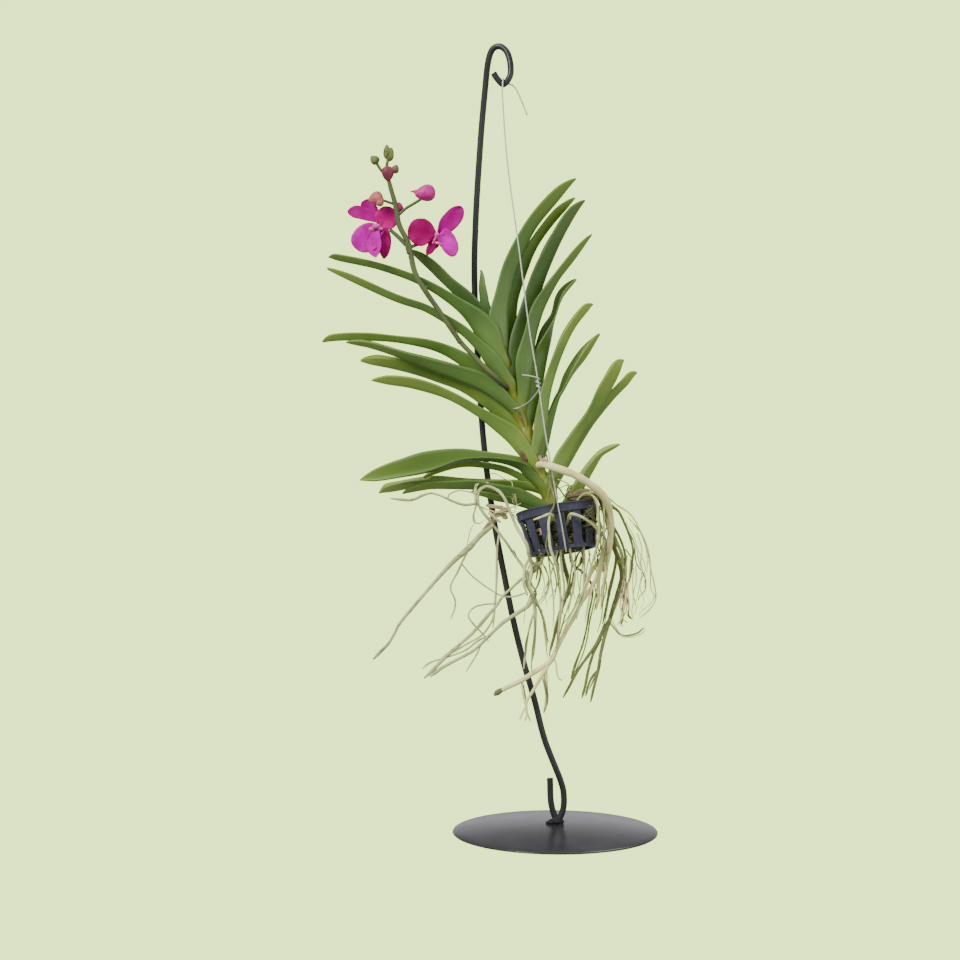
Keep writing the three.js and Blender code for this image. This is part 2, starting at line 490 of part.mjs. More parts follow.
const OLIVE_ROOTS = [
  [[[7, 7, 188], [5.6, 5.4, 177], [5.4, 4.6, 171], [7.4, 4.4, 163], [8.6, 4.2, 156], [7.4, 4, 149],
    [4.6, 4, 141.4], [2, 4, 134], [0, 4, 125], [-3.6, 3, 112]], [1.2, 1, 1, 1.2, 0.9]],
  [[[3.6, 7, 187], [2.6, 6.6, 177], [1.2, 3.6, 171], [2.2, 3, 163], [3.2, 3.4, 154], [4.6, 4, 142]],
    [1, 0.8]],
  [[[13, 7, 187], [17.4, 1.2, 178], [16.8, 1.6, 171.6], [12.8, 4.6, 165.6], [11.8, 5, 160],
    [10, 5, 154], [8, 4.4, 148]], [1.1, 0.8]],
  [[[10, 10, 187], [11, 10.4, 171], [17.6, 10, 165], [23.4, 9, 157.6], [24.4, 8, 150], [22.2, 7.6, 139],
    [20.6, 7.4, 129], [17.6, 7, 117], [13.8, 6.8, 107], [10.6, 6.4, 96.6]], [1.1, 0.8, 0.7, 1]],
  [[[9, 9, 197], [10, 8, 208], [14, 6, 216.4], [20, 4, 216.2], [27, 2.6, 213], [33, 1.6, 209.6],
    [37, 1, 206.4], [40.6, 1, 203.4], [44, 2, 197], [48, 3, 187], [50, 3, 178.6], [49, 3, 170],
    [47.6, 3, 161], [44.4, 4, 149]], [1.4, 2, 1.6, 1, 0.9, 0.8, 0.7]],
  [[[7, 8, 198], [8, 6, 210], [10, 3.6, 218.4], [16, 1, 217.6], [23, -1, 214.8], [28, -1.4, 212.4]],
    [1.2, 2, 1.4]],
  [[[30, 2.4, 211.4], [33.4, 4, 206], [35.4, 4.6, 200], [37.4, 4.6, 194], [40, 4.6, 189.6],
    [42.4, 4.6, 184.6], [44.4, 4.6, 178.6], [45.2, 4.6, 172], [45.2, 4.8, 162], [44.4, 5, 149],
    [43.2, 5, 139], [42.6, 5, 130.6]], [1.2, 1, 0.9, 0.9, 1.1]],
  [[[28, 3, 212.4], [31.4, 7, 205], [34.6, 8.4, 194], [37, 8.4, 184], [41, 8, 173], [43, 7.4, 163],
    [41.4, 7, 154], [38.6, 6.6, 145.6], [35.8, 6.2, 136], [32.4, 6, 125], [29.6, 6, 113],
    [28.2, 6, 103.6], [25.4, 6, 92], [23, 6, 81.6]], [1.3, 1.6, 1.7, 1.5, 1.2, 1]],
  [[[35.6, 6.2, 134.6], [31.4, 6.2, 128], [27, 6.4, 119], [21, 6.4, 110.6], [15.6, 6.6, 103],
    [10.4, 6.6, 93.4], [5.4, 6.4, 84.4]], [1.5, 1.3, 1, 0.9]],
  [[[29.6, 6.4, 122.6], [24.6, 6.8, 112], [21.4, 6.8, 101], [19.8, 6.8, 92.6], [17.4, 6.6, 84]],
    [1.1, 0.9]],
  [[[28, 6, 102], [24, 6.4, 97.6], [21.4, 6.6, 91.6], [20, 6.6, 85.6]], [1, 0.8]],
  [[[37.2, 4.6, 194.6], [38.6, 3.4, 184], [38.8, 3, 173], [37, 3, 163], [34.6, 3, 154],
    [33, 3.4, 143.6], [30.6, 5, 131.6]], [0.9, 0.7]],
  [[[35, 6, 133], [38.4, 6, 128.6], [41.6, 5.6, 125.2], [46, 5.6, 124.2], [53, 5.6, 126],
    [57, 5.6, 129.4]], 0.6],
  [[[44.8, 5, 153], [47.4, 5.6, 143], [47, 5.8, 137.6], [49.6, 5.8, 134.6]], 0.7],
];

const PALE_ROOTS = [
  [[[3, -14, 193], [-1.6, -21, 200.4], [-4.6, -27, 202.4], [-9.4, -27, 200.8], [-14.6, -25.6, 198.8]],
    [1.1, 1.2, 0.9]],
  [[[-4.2, -26.6, 202.6], [-5.2, -28, 196], [-4.8, -28.4, 188], [-4, -28.8, 181], [-1.6, -27.6, 174],
    [1.6, -22, 164], [2.6, -17, 152], [2.4, -13, 138], [1.4, -10.6, 124]], [1, 1, 0.9, 0.8]],
  [[[6, -14, 193], [7.6, -21, 200.6], [9.6, -27.6, 202.6], [15.4, -26.6, 200.6], [20.8, -23.4, 197],
    [25.6, -19, 192.4], [27.4, -16, 185]], [1.1, 1.2, 0.9]],
  [[[9, -10, 198], [13, -13, 210], [19, -20, 215.4], [24.6, -23.4, 211], [26, -22.6, 200],
    [26.4, -19.6, 189], [24.4, -16, 178], [21, -13, 166], [16, -12, 151], [9, -11, 138],
    [2.4, -10.4, 122]], [1.1, 0.9, 0.9, 0.8]],
  [[[10, -8, 199], [15, -9.4, 211.6], [23, -13.6, 216], [29.2, -16, 210.6], [30, -15.4, 200],
    [30, -14, 189], [28.4, -12, 177], [25.4, -11, 163], [21.4, -10, 150], [18.4, -9.6, 134]],
    [1.1, 0.9, 0.8]],
  [[[24.2, -14.4, 216], [29.6, -9, 215], [34.4, -5, 211.8], [39.6, -4, 207.4], [48, -4, 201.4],
    [54.4, -4, 190], [58, -4, 181], [60.4, -4, 167], [62.4, -4, 159], [63.6, -4, 149], [60, -4, 142],
    [53, -4, 136]], [0.7, 0.5]],
  [[[28.4, -12, 178], [31.4, -11, 171], [30.4, -10, 160], [29.2, -10, 149], [28.4, -10, 142]],
    [0.8, 0.7]],
  [[[3.6, -12, 185], [3, -12, 177], [4, -12, 167], [5.4, -11.6, 155], [3.4, -11, 141], [2, -10.6, 128]],
    [1, 0.9]],
  [[[8.4, -12, 185], [9.4, -13, 177], [12, -12.4, 165], [10, -11.8, 151], [6, -11.2, 139]], [1, 0.8]],
  [[[11, -10.4, 189.6], [16.6, -8.2, 185.6], [18, -8.2, 178], [18, -10, 166], [16.6, -10.4, 150],
    [13, -10, 136]], [1, 0.8]],
  [[[-0.6, -13, 187], [0.6, -17, 178.4], [-2.6, -15, 167], [-5, -12.6, 154], [-9.6, -12, 145.6]],
    [0.8, 0.6]],
];

const hearts = [
  ['left_roots', ROOT_GREY, LEFT_ROOTS, [[-10.5, -2.6, 193], [5, 6.4, 8]]],
  ['olive_roots', ROOT_OLIVE, OLIVE_ROOTS, [[9, 9, 193], [10, 6, 9]]],
  ['pale_roots', ROOT_GREY, PALE_ROOTS, [[5, -12.6, 191], [10.5, 5.4, 8.5]]],
];

add('thick_root', clearOf(join(THICK_ROOT.map((root) => slimBar(root))), [stemRoom]), ROOT_CREAM);
for (const [name, material, roots, heart] of hearts) {
  const bunch = join([egg(...heart), ...roots.map((root) => slimBar(root))]);
  add(name, clearOf(bunch, [stemRoom]), material);
}

// The flower spike: its stalk with three bracts, and the short stalks of the buds and blooms

const SPIKE = [
  [[[-29.4, -3.8, 281.6], [-32.4, -7.8, 283.8], [-36.6, -10.6, 287.4], [-44, -11, 294], [-52, -11, 302],
    [-59.5, -11, 310], [-66, -11, 319], [-74, -11, 331], [-81, -11, 341], [-88.5, -11, 354],
    [-93, -11, 372], [-99, -11, 384], [-101, -11, 396], [-104.5, -11, 408], [-105.8, -11, 418],
    [-105.2, -11, 425]], [1.5, 1.6, 1.6, 1.7, 1.8, 1.6, 1]],
  [[[-60, -11, 310], [-62.4, -12, 313.6], [-62, -12.4, 316.6]], [1.8, 0.5]],
  [[[-79.4, -11, 338.6], [-81.6, -12, 342.4], [-81, -12.4, 345.6]], [1.7, 0.5]],
  [[[-92, -11, 368], [-93.6, -12, 373], [-92.6, -12.4, 376]], [1.7, 0.5]],
  [[[-92.4, -11, 371], [-88, -11, 373.4], [-82, -10.4, 375.4]], [1, 0.9]],
  [[[-95.6, -11, 375.4], [-99.6, -10.2, 379], [-104, -9.2, 381.8], [-108.6, -9, 384]], [1.2, 0.9]],
  [[[-99.6, -11, 391.6], [-94.6, -11, 395.4], [-89.4, -11, 398.4], [-83.6, -11, 402]], [1, 0.8]],
  [[[-105.6, -11, 414], [-108.6, -11, 418.6], [-111, -11, 422], [-113.2, -11, 425.4]], [0.8, 0.9]],
  [[[-105, -11, 415], [-103, -11, 418], [-101.4, -11, 420.2]], [0.8, 0.8]],
  [[[-102, -11, 399], [-106.4, -12, 400.6], [-109.4, -12, 401.6]], [0.8, 0.6]],
];

add('flower_spike', clearOf(join(SPIKE.map((stalk) => slimBar(stalk))), [stemRoom]), BUD_GREEN);

const BUDS = [
  ['bud_large', BUD_PINK, [-81.7, -11, 406.2], [6.5, 5.6, 5.6], [0, -0.1, 0]],
  ['bud_peach', BUD_PEACH, [-113.6, -13.4, 401.4], [5, 4.4, 4.6], [0, -0.2, 0]],
  ['bud_left', BUD_GREEN, [-114.3, -11, 426.9], [3.4, 2.8, 2.8], [0, 0.7, 0]],
  ['bud_top', BUD_GREEN, [-104.9, -11, 430.6], [3.2, 2.6, 5.4], [0, 0.1, 0]],
  ['bud_crimson', PETAL_CRIMSON, [-98.8, -8.4, 397.2], [2.9, 2.6, 3], [0, 0, 0]],
  ['bud_purple', BUD_PEACH, [-105.8, -12.8, 417.8], [3.2, 2.4, 4.6], [0, 0, 0]],
  ['bud_side', BUD_PEACH, [-100.9, -11, 421.2], [2.5, 2.4, 2.7], [0, 0.5, 0]],
];
const spikeRoom = join(SPIKE.map((stalk) => slimBar(stalk, GAP)));
for (const [name, material, ...shape] of BUDS) {
  add(name, clearOf(toSolid(egg(...shape)), [spikeRoom]), material);
}

// The blooms: five clawed petals each round a pale column and lip. A petal is its spine, the way its
// upper side looks and its half widths, and the heart is where the petals meet.

const TO_VIEWER = [0, -1, 0];
const HEART_RADII = [3.4, 2.6, 3.4];
const LIP_DETAIL = [6, 5];

const BLOOMS = [
  {
    side: 'left',
    heart: [-111.6, -11, 385],
    petals: [
      [[[-111.6, -10.6, 386], [-117.4, -11, 389.4], [-125, -10.4, 392.2], [-131.8, -9, 394.4]],
        [-0.2, -1, 0.4], [2.4, 4.4, 3.8, 2]],
      [[[-112, -9.4, 387.4], [-115.8, -8, 392.6], [-118.8, -7, 397.6], [-120, -6.4, 402]],
        [0.2, -1, 0], [1.8, 4.2, 4.4, 2]],
      [[[-110, -9.6, 385.6], [-108, -8, 389.4], [-106.4, -7.2, 393], [-105, -6.8, 397]],
        [0.2, -1, 0], [2.6, 6, 6.2, 3]],
      [[[-113, -12, 382.6], [-117, -13.6, 379.2], [-121.4, -14.4, 374.6], [-125.2, -13.6, 369.4]],
        TO_VIEWER, [2.4, 7, 8, 4.4]],
      [[[-110.6, -11, 382], [-110, -11.6, 376], [-109.6, -12, 370], [-109.6, -12, 364.2]],
        [0.3, -1, 0], [2.2, 4.8, 5.2, 3]],
    ],
    column: [[-114, -14.6, 384.4], [2.8, 3.2, 2.6], [0.4, 0, 0]],
    lip: [[-114.4, -16.8, 375.4], [3, 2.2, 7.4], [-0.2, 0, 0.1]],
  },
  {
    side: 'right',
    heart: [-75, -11, 379],
    petals: [
      [[[-76, -10, 379.6], [-80.6, -9.8, 380.4], [-86.4, -9.6, 381.2], [-93, -9.4, 381.4]],
        TO_VIEWER, [2.4, 7.6, 8.4, 4]],
      [[[-73, -10, 380.4], [-69, -9.8, 385], [-64.2, -9.6, 390.8], [-59.4, -9.4, 397]],
        TO_VIEWER, [2.2, 5, 5.4, 3]],
      [[[-72.6, -11, 380.4], [-69, -11.4, 378], [-66.2, -12, 373], [-64, -12, 366.2]],
        TO_VIEWER, [2.6, 5, 5.2, 3]],
      [[[-76, -10, 377.6], [-77.4, -9.6, 374.4], [-78.8, -9.4, 371], [-80.4, -9, 367.4]],
        TO_VIEWER, [2, 3.6, 2.8, 1]],
      [[[-76, -8.8, 380], [-79, -6, 382], [-82, -3.8, 383.6], [-85, -2.4, 384.6]],
        [0, -1, 0.3], [1.6, 3.4, 3.8, 2]],
    ],
    column: [[-74.6, -13.8, 379.6], [2.4, 3, 2.4], [0.4, 0, 0]],
    lip: [[-76.4, -14.4, 375.8], [3.2, 2, 2.6], [0, 0, 0.3]],
  },
];

function petal([spine, face, widths], grow = 0) {
  const rows = spine.map((point, i) => [...point, widths[i]]);
  return blade(rows, { face, fold: [30, 8, 14], thick: PETAL_THICK, steps: 6, grow });
}

for (const { side, heart, petals, column, lip } of BLOOMS) {
  const cup = egg(heart, HEART_RADII);
  const bloom = join([cup, ...petals.map((shape) => petal(shape))]);
  add(`bloom_${side}`, clearOf(bloom, [spikeRoom]), PETAL_CRIMSON);
  const cupRoom = egg(heart, HEART_RADII.map((r) => r + GAP));
  const bloomRoom = join([cupRoom, ...petals.map((shape) => petal(shape, GAP))]);
  const columnAndLip = join([egg(...column, LIP_DETAIL), egg(...lip, LIP_DETAIL)]);
  add(`bloom_${side}_lip`, clearOf(columnAndLip, [bloomRoom, spikeRoom]), PETAL_PALE);
}

export default orchid;
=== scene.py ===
import math
import random

import bmesh
import bpy
from mathutils import Matrix, Vector, noise


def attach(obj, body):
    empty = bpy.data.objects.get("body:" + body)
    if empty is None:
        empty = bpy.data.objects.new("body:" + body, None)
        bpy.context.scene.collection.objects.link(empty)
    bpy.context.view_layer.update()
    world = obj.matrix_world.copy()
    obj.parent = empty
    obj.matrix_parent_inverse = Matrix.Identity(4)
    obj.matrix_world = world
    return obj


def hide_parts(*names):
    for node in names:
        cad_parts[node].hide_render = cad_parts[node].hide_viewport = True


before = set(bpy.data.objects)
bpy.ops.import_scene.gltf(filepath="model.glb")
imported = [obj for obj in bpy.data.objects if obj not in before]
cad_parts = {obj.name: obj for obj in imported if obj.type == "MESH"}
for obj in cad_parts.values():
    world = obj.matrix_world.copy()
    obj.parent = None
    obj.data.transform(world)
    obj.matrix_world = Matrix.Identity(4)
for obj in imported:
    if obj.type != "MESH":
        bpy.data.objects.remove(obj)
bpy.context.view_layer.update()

# The camera
# It stands level with the basket, a little over a metre in front of the stand and slightly to its left,
# and looks straight along +Y, so the base plate shows as a thin ellipse.

CAMERA_PLACE = (-0.0476, -1.062, 0.2236)
CAMERA_LENS_MM = 62.7
CAMERA_SENSOR_MM = 36
CAMERA_NEAR = 0.05

camera_data = bpy.data.cameras.new("camera")
camera_data.lens = CAMERA_LENS_MM
camera_data.sensor_width = CAMERA_SENSOR_MM
camera_data.clip_start = CAMERA_NEAR
camera = bpy.data.objects.new("camera", camera_data)
camera.location = CAMERA_PLACE
camera.rotation_euler = (math.radians(90), 0, 0)
bpy.context.scene.collection.objects.link(camera)
bpy.context.scene.camera = camera

# The studio
# A round floor that curves up into a wall on every side. The camera sees it in one even, pale yellow-green.
# The stand gets a softer light from it, weak from below, with a large lamp over the front left, a weaker one
# on the right and one from behind. What shines mirrors it dimly, brightest just above the floor.

BACKDROP_TONE = (0.71, 1.0, 0.285, 1)
BACKDROP_GLOW = 2.88
BOUNCE_TONE = (0.94, 1.0, 0.86, 1)
BOUNCE_FROM_FLOOR = 0.45
BOUNCE_FROM_WALL = 1.1
BOUNCE_FULL_HEIGHT = 1.6
MIRROR_TONE = (1.05, 1.03, 1.09, 1)
MIRROR_BANDS = ((0, 0.45), (0.03, 1.0), (0.12, 1.0), (0.27, 0.24), (0.7, 0.3))
FLOOR_RADIUS = 2.2
FLOOR_SIDES = 64
WALL_BEND = 1.2
WALL_BEND_STEPS = 12
WALL_TOP = 4.0
SKY_TONE = (0.97, 1.0, 0.95, 1)
SKY_STRENGTH = 1.1
LIGHT_AIM = (-0.03, 0, 0.25)
LIGHTS = [
    ("key_light", (-1.2, -1.3, 1.5), 0.8, 48),
    ("fill_light", (1.5, -1.2, 0.9), 1.0, 10),
    ("back_light", (0.9, 1.2, 2.2), 1.0, 18),
]


def add_node(tree, kind, values=(), **settings):
    """A shader node with its settings made and its inputs set, or linked where the value is a socket."""
    node = tree.nodes.new(kind)
    for key, value in settings.items():
        setattr(node, key, value)
    for key, value in dict(values).items():
        if isinstance(value, bpy.types.NodeSocket):
            tree.links.new(value, node.inputs[key])
        else:
            node.inputs[key].default_value = value
    return node


def worked(tree, operation, *values):
    """The result of a sum on values or sockets."""
    return add_node(tree, "ShaderNodeMath", enumerate(values), operation=operation).outputs[0]


def ranged(tree, value, low=0.0, high=1.0, to_low=0.0, to_high=1.0, **settings):
    """A value carried from one range to another and held at its ends."""
    limits = {"From Min": low, "From Max": high, "To Min": to_low, "To Max": to_high}
    return add_node(tree, "ShaderNodeMapRange", {"Value": value, **limits}, **settings).outputs[0]


def blended(tree, factor, first, second, kind="RGBA"):
    """Two colours mixed by a factor, or two numbers where the kind is FLOAT."""
    at = {"RGBA": (6, 7, 2), "FLOAT": (2, 3, 0)}[kind]
    return add_node(tree, "ShaderNodeMix", {"Factor": factor, at[0]: first, at[1]: second},
                    data_type=kind).outputs[at[2]]


def new_material(name, **values):
    """A material with one Principled shader, whose plain inputs are set here."""
    material = bpy.data.materials.new(name)
    material.use_nodes = True
    for key, value in values.items():
        material.node_tree.nodes["Principled BSDF"].inputs[key.replace("_", " ")].default_value = value
    return material


def finished_mesh(bm, name):
    """The mesh that a bmesh has made."""
    mesh = bpy.data.meshes.new(name)
    bm.to_mesh(mesh)
    bm.free()
    return mesh


def spun_mesh(name, outline, sides):
    """An open section, as radius and height, spun round the Z axis. Where it meets the axis it closes."""
    bm = bmesh.new()
    verts = [bm.verts.new((radius, 0, height)) for radius, height in outline]
    edges = [bm.edges.new(pair) for pair in zip(verts, verts[1:])]
    bmesh.ops.spin(bm, geom=verts + edges, cent=(0, 0, 0), axis=(0, 0, 1), angle=math.tau, steps=sides,
                   use_merge=True)
    bmesh.ops.remove_doubles(bm, verts=bm.verts, dist=1e-6)
    bmesh.ops.recalc_face_normals(bm, faces=bm.faces)
    return finished_mesh(bm, name)


floor_line = [(0, 0), (FLOOR_RADIUS, 0)]
for step in range(1, WALL_BEND_STEPS + 1):
    bend = math.radians(90) * step / WALL_BEND_STEPS
    floor_line.append((FLOOR_RADIUS + WALL_BEND * math.sin(bend), WALL_BEND * (1 - math.cos(bend))))
floor_line.append((FLOOR_RADIUS + WALL_BEND, WALL_TOP))

floor_paint = new_material("studio_floor", Base_Color=(0, 0, 0, 1), Roughness=1.0, Specular_IOR_Level=0.0)
floor_tree = floor_paint.node_tree
floor_place = add_node(floor_tree, "ShaderNodeTexCoord").outputs["Object"]
floor_height = add_node(floor_tree, "ShaderNodeSeparateXYZ", {"Vector": floor_place}).outputs["Z"]
floor_bounce = ranged(floor_tree, floor_height, 0, BOUNCE_FULL_HEIGHT, BOUNCE_FROM_FLOOR, BOUNCE_FROM_WALL)
floor_level = worked(floor_tree, "DIVIDE", floor_height, WALL_TOP)
floor_mirror = add_node(floor_tree, "ShaderNodeValToRGB", {"Fac": floor_level})
stops = floor_mirror.color_ramp.elements
for band, (level, glow) in enumerate(MIRROR_BANDS):
    stop = stops[band] if band < 2 else stops.new(level)
    stop.position = level
    stop.color = (glow, glow, glow, 1)
rays = add_node(floor_tree, "ShaderNodeLightPath").outputs
soft_tint = blended(floor_tree, rays["Is Glossy Ray"], BOUNCE_TONE, MIRROR_TONE)
soft_glow = blended(floor_tree, rays["Is Glossy Ray"], floor_bounce, floor_mirror.outputs["Color"], "FLOAT")
floor_tint = blended(floor_tree, rays["Is Camera Ray"], soft_tint, BACKDROP_TONE)
floor_glow = blended(floor_tree, rays["Is Camera Ray"], soft_glow, BACKDROP_GLOW, "FLOAT")
floor_shader = floor_tree.nodes["Principled BSDF"]
floor_tree.links.new(floor_tint, floor_shader.inputs["Emission Color"])
floor_tree.links.new(floor_glow, floor_shader.inputs["Emission Strength"])
studio_floor = bpy.data.objects.new("studio_floor", spun_mesh("studio_floor", floor_line, FLOOR_SIDES))
studio_floor.data.materials.append(floor_paint)
studio_floor.data.shade_smooth()
bpy.context.scene.collection.objects.link(studio_floor)

world = bpy.data.worlds.new("studio_sky")
world.use_nodes = True
world.node_tree.nodes["Background"].inputs["Color"].default_value = SKY_TONE
world.node_tree.nodes["Background"].inputs["Strength"].default_value = SKY_STRENGTH
bpy.context.scene.world = world

for light_name, light_place, light_size, light_watts in LIGHTS:
    light_data = bpy.data.lights.new(light_name, "AREA")
    light_data.size = light_size
    light_data.energy = light_watts
    light = bpy.data.objects.new(light_name, light_data)
    light.location = light_place
    light.rotation_euler = (Vector(LIGHT_AIM) - light.location).to_track_quat("-Z", "Y").to_euler()
    bpy.context.scene.collection.objects.link(light)

# The base plate
# A round plate of sheet steel, pressed into a low dome with a thin flat edge that stands on the surface,
# and powder-coated dark grey. The coat is smooth, with a soft sheen, light dust and a fine grain.

MM = 0.001
PLATE_RADIUS = 65 * MM
PLATE_EDGE = 1.2 * MM
PLATE_CROWN = 5.6 * MM
PLATE_EDGE_LINE = ((0.4, 0), (0, 0.3), (0, 0.8), (0.25, 1.1))
PLATE_FLAT = 0.8 * MM
PLATE_DOME_STEPS = 14
PLATE_SIDES = 128
PLATE_TONE = (0.017, 0.017, 0.019, 1)
PLATE_DUST = (0.05, 0.049, 0.055, 1)
DUST_CLOUD = {"Scale": 45, "Detail": 5}
COAT_GRAIN = {"Scale": 1400, "Detail": 2}


def clouds(tree, here, size):
    """Noise from 0 to 1 over a place. The size is the noise node's own scale and detail."""
    return add_node(tree, "ShaderNodeTexNoise", {"Vector": here, **size}).outputs["Fac"]


def relief(tree, height, strength, distance):
    """A normal that follows a height, as deep as the distance in metres."""
    return add_node(tree, "ShaderNodeBump", {"Strength": strength, "Distance": distance,
                                             "Height": height}).outputs[0]


def open_group(name, colours, numbers=()):
    """A node group with its colour and number inputs. Also gives those inputs and its texture places."""
    group = bpy.data.node_groups.new(name, "ShaderNodeTree")
    for kind, sockets in (("NodeSocketColor", colours), ("NodeSocketFloat", numbers)):
        for socket in sockets:
            group.interface.new_socket(name=socket, in_out="INPUT", socket_type=kind)
    return group, add_node(group, "NodeGroupInput").outputs, add_node(group, "ShaderNodeTexCoord").outputs


def close_group(group, results):
    """Gives a node group its outputs, each by the name of the shader input that it feeds."""
    kinds = {"RGBA": "NodeSocketColor", "VALUE": "NodeSocketFloat", "VECTOR": "NodeSocketVector"}
    for socket, value in results.items():
        group.interface.new_socket(name=socket, in_out="OUTPUT", socket_type=kinds[value.type])
    add_node(group, "NodeGroupOutput", results)
    return group


def powder_coat_group():
    """Powder coat: a tone that varies softly with dust, and the coat's fine grain as a normal."""
    group, inputs, where = open_group("powder_coat", ("Tone", "Dust"),
                                      ("Dust Amount", "Smoothest", "Roughest", "Grain"))
    cloud = clouds(group, where["Object"], DUST_CLOUD)
    dusty = worked(group, "MULTIPLY", ranged(group, cloud, 0.4, 0.75), inputs["Dust Amount"])
    grain = clouds(group, where["Object"], COAT_GRAIN)
    return close_group(group, {
        "Base Color": blended(group, dusty, inputs["Tone"], inputs["Dust"]),
        "Roughness": ranged(group, cloud, to_low=inputs["Smoothest"], to_high=inputs["Roughest"]),
        "Normal": relief(group, grain, inputs["Grain"], 0.2 * MM),
    })


POWDER_COAT = powder_coat_group()


def dressed(name, group, values, **shader_values):
    """A material whose shader is fed by a placed node group, with its other plain inputs set here."""
    material = new_material(name, **shader_values)
    tree = material.node_tree
    for output in add_node(tree, "ShaderNodeGroup", values, node_tree=group).outputs:
        tree.links.new(output, tree.nodes["Principled BSDF"].inputs[output.name])
    return material


def powder_coat(name, tone, dust, amount, smoothest, roughest, grain, specular):
    """Powder coat in one tone, with its dust, gloss and grain."""
    return dressed(name, POWDER_COAT, {
        "Tone": tone, "Dust": dust, "Dust Amount": amount, "Smoothest": smoothest, "Roughest": roughest,
        "Grain": grain}, Specular_IOR_Level=specular)


def place(mesh, slot, materials, *nodes, sharp_from=0):
    """Links a finished mesh as a piece of the part, in place of the CAD nodes that it stands for."""
    piece = bpy.data.objects.new(mesh.name, mesh)
    bpy.context.scene.collection.objects.link(piece)
    for material in materials:
        mesh.materials.append(material)
    mesh.shade_smooth()
    if sharp_from:
        mesh.set_sharp_from_angle(angle=math.radians(sharp_from))
    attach(piece, "root")
    if nodes:
        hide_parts(*nodes)
    return piece


plate_line = [(0, 0)] + [(PLATE_RADIUS - inward * MM, up * MM) for inward, up in PLATE_EDGE_LINE]
for step in range(PLATE_DOME_STEPS + 1):
    radius = (PLATE_RADIUS - PLATE_FLAT) * (1 - step / PLATE_DOME_STEPS)
    rise = 1 - (radius / PLATE_RADIUS) ** 2
    plate_line.append((radius, PLATE_EDGE + (PLATE_CROWN - PLATE_EDGE) * rise))
plate_paint = powder_coat("plate_paint", PLATE_TONE, PLATE_DUST, amount=0.35, smoothest=0.18, roughest=0.3,
                          grain=0.1, specular=0.5)
place(spun_mesh("base_plate_skin", plate_line, PLATE_SIDES), "plate_metal", [plate_paint], "base_plate",
      sharp_from=50)

# The rod and its weld
# One steel rod, 4 mm thick and painted black. It stands in a small loop welded to the plate, leans away and
# back in a long bow, and ends in a round hook. The weld is a low rough bead of melted metal under the paint.

ROD_RADIUS = 2
ROD_TONE = (0.018, 0.019, 0.02, 1)
ROD_WEAR = (0.05, 0.052, 0.054, 1)
ROD_ROUTE = [
    [-3.2, 0, 34.3], [-2.4, 0, 18.1], [1.3, 0, 7.9], [4.9, 0, 13.5], [5.7, 0, 22], [3.7, 0, 32.3],
    [-6.5, 0, 58.6], [-13, 1.5, 84], [-20.3, 4, 109.4], [-26.5, 6, 134.8], [-31.6, 8, 160.2],
    [-37.7, 9.5, 192], [-43.3, 10.5, 230], [-47.3, 11, 273.2], [-51, 11, 344.4], [-50.4, 9.5, 388.8],
    [-47.3, 6.5, 439.6], [-44.4, 2.5, 472], [-42.6, -0.5, 488], [-40, -2.5, 496], [-35.5, -4.5, 497.9],
    [-31, -6.2, 494.5], [-28.6, -7.6, 487], [-28.6, -8.6, 478.5], [-32.7, -9.5, 472.8],
    [-36.6, -9.6, 476], [-39, -9.5, 479.6],
]
WELD = [
    ((1.0, -1, 7.4), (3.2, 2.6, 2.6), (0, 0, 0)), ((-2.2, -1.2, 6.8), (2.4, 1.8, 1.5), (0, 0.3, 0)),
    ((4.0, -1, 6.9), (1.6, 1.6, 1.7), (0, -0.2, 0)), ((-4.2, -1, 6.2), (1.5, 1.2, 0.9), (0, 0, 0)),
]
WELD_ROUGH = 0.7


def mix(values, along):
    """A value part of the way through an evenly spaced list."""
    if not isinstance(values, (list, tuple)):
        return values
    position = min(max(along, 0), 0.9999) * (len(values) - 1)
    index = int(position)
    return values[index] + (values[index + 1] - values[index]) * (position - index)


def roughened(bm, rough, coarse, fine, fine_share):
    """Lets a surface wander in and out by a few tenths of a millimetre, in broad and in fine bumps."""
    for vertex in bm.verts:
        wander = noise.noise(vertex.co * coarse) + fine_share * noise.noise(vertex.co * fine)
        vertex.co += vertex.normal * wander * rough * MM


def tube_mesh(name, routes, sides=3, steps=6, rough=0.0):
    """Round tubes on smooth routes in millimetres, each with its radii spread evenly along it.

    Rough is how far, in millimetres, the surface wanders in and out."""
    curve = bpy.data.curves.new(name, "CURVE")
    curve.dimensions = "3D"
    curve.bevel_depth = MM
    curve.bevel_resolution = sides
    curve.resolution_u = steps
    curve.use_fill_caps = True
    for points, radii in routes:
        spline = curve.splines.new("BEZIER")
        spline.bezier_points.add(len(points) - 1)
        last = len(points) - 1
        for i, knot in enumerate(spline.bezier_points):
            here, before, after = (Vector(points[min(max(k, 0), last)]) for k in (i, i - 1, i + 1))
            reach = (after - before) / (6 if 0 < i < last else 3)
            knot.co = here * MM
            knot.handle_left = (here - reach) * MM
            knot.handle_right = (here + reach) * MM
            knot.radius = mix(radii, i / last)
    maker = bpy.data.objects.new(name, curve)
    drawn = bpy.data.meshes.new_from_object(maker)
    bm = bmesh.new()
    bm.from_mesh(drawn)
    bpy.data.objects.remove(maker)
    bpy.data.curves.remove(curve)
    bpy.data.meshes.remove(drawn)
    bmesh.ops.remove_doubles(bm, verts=bm.verts, dist=1e-6)
    bmesh.ops.recalc_face_normals(bm, faces=bm.faces)
    if rough:
        roughened(bm, rough, 260, 900, 0.5)
    return finished_mesh(bm, name)


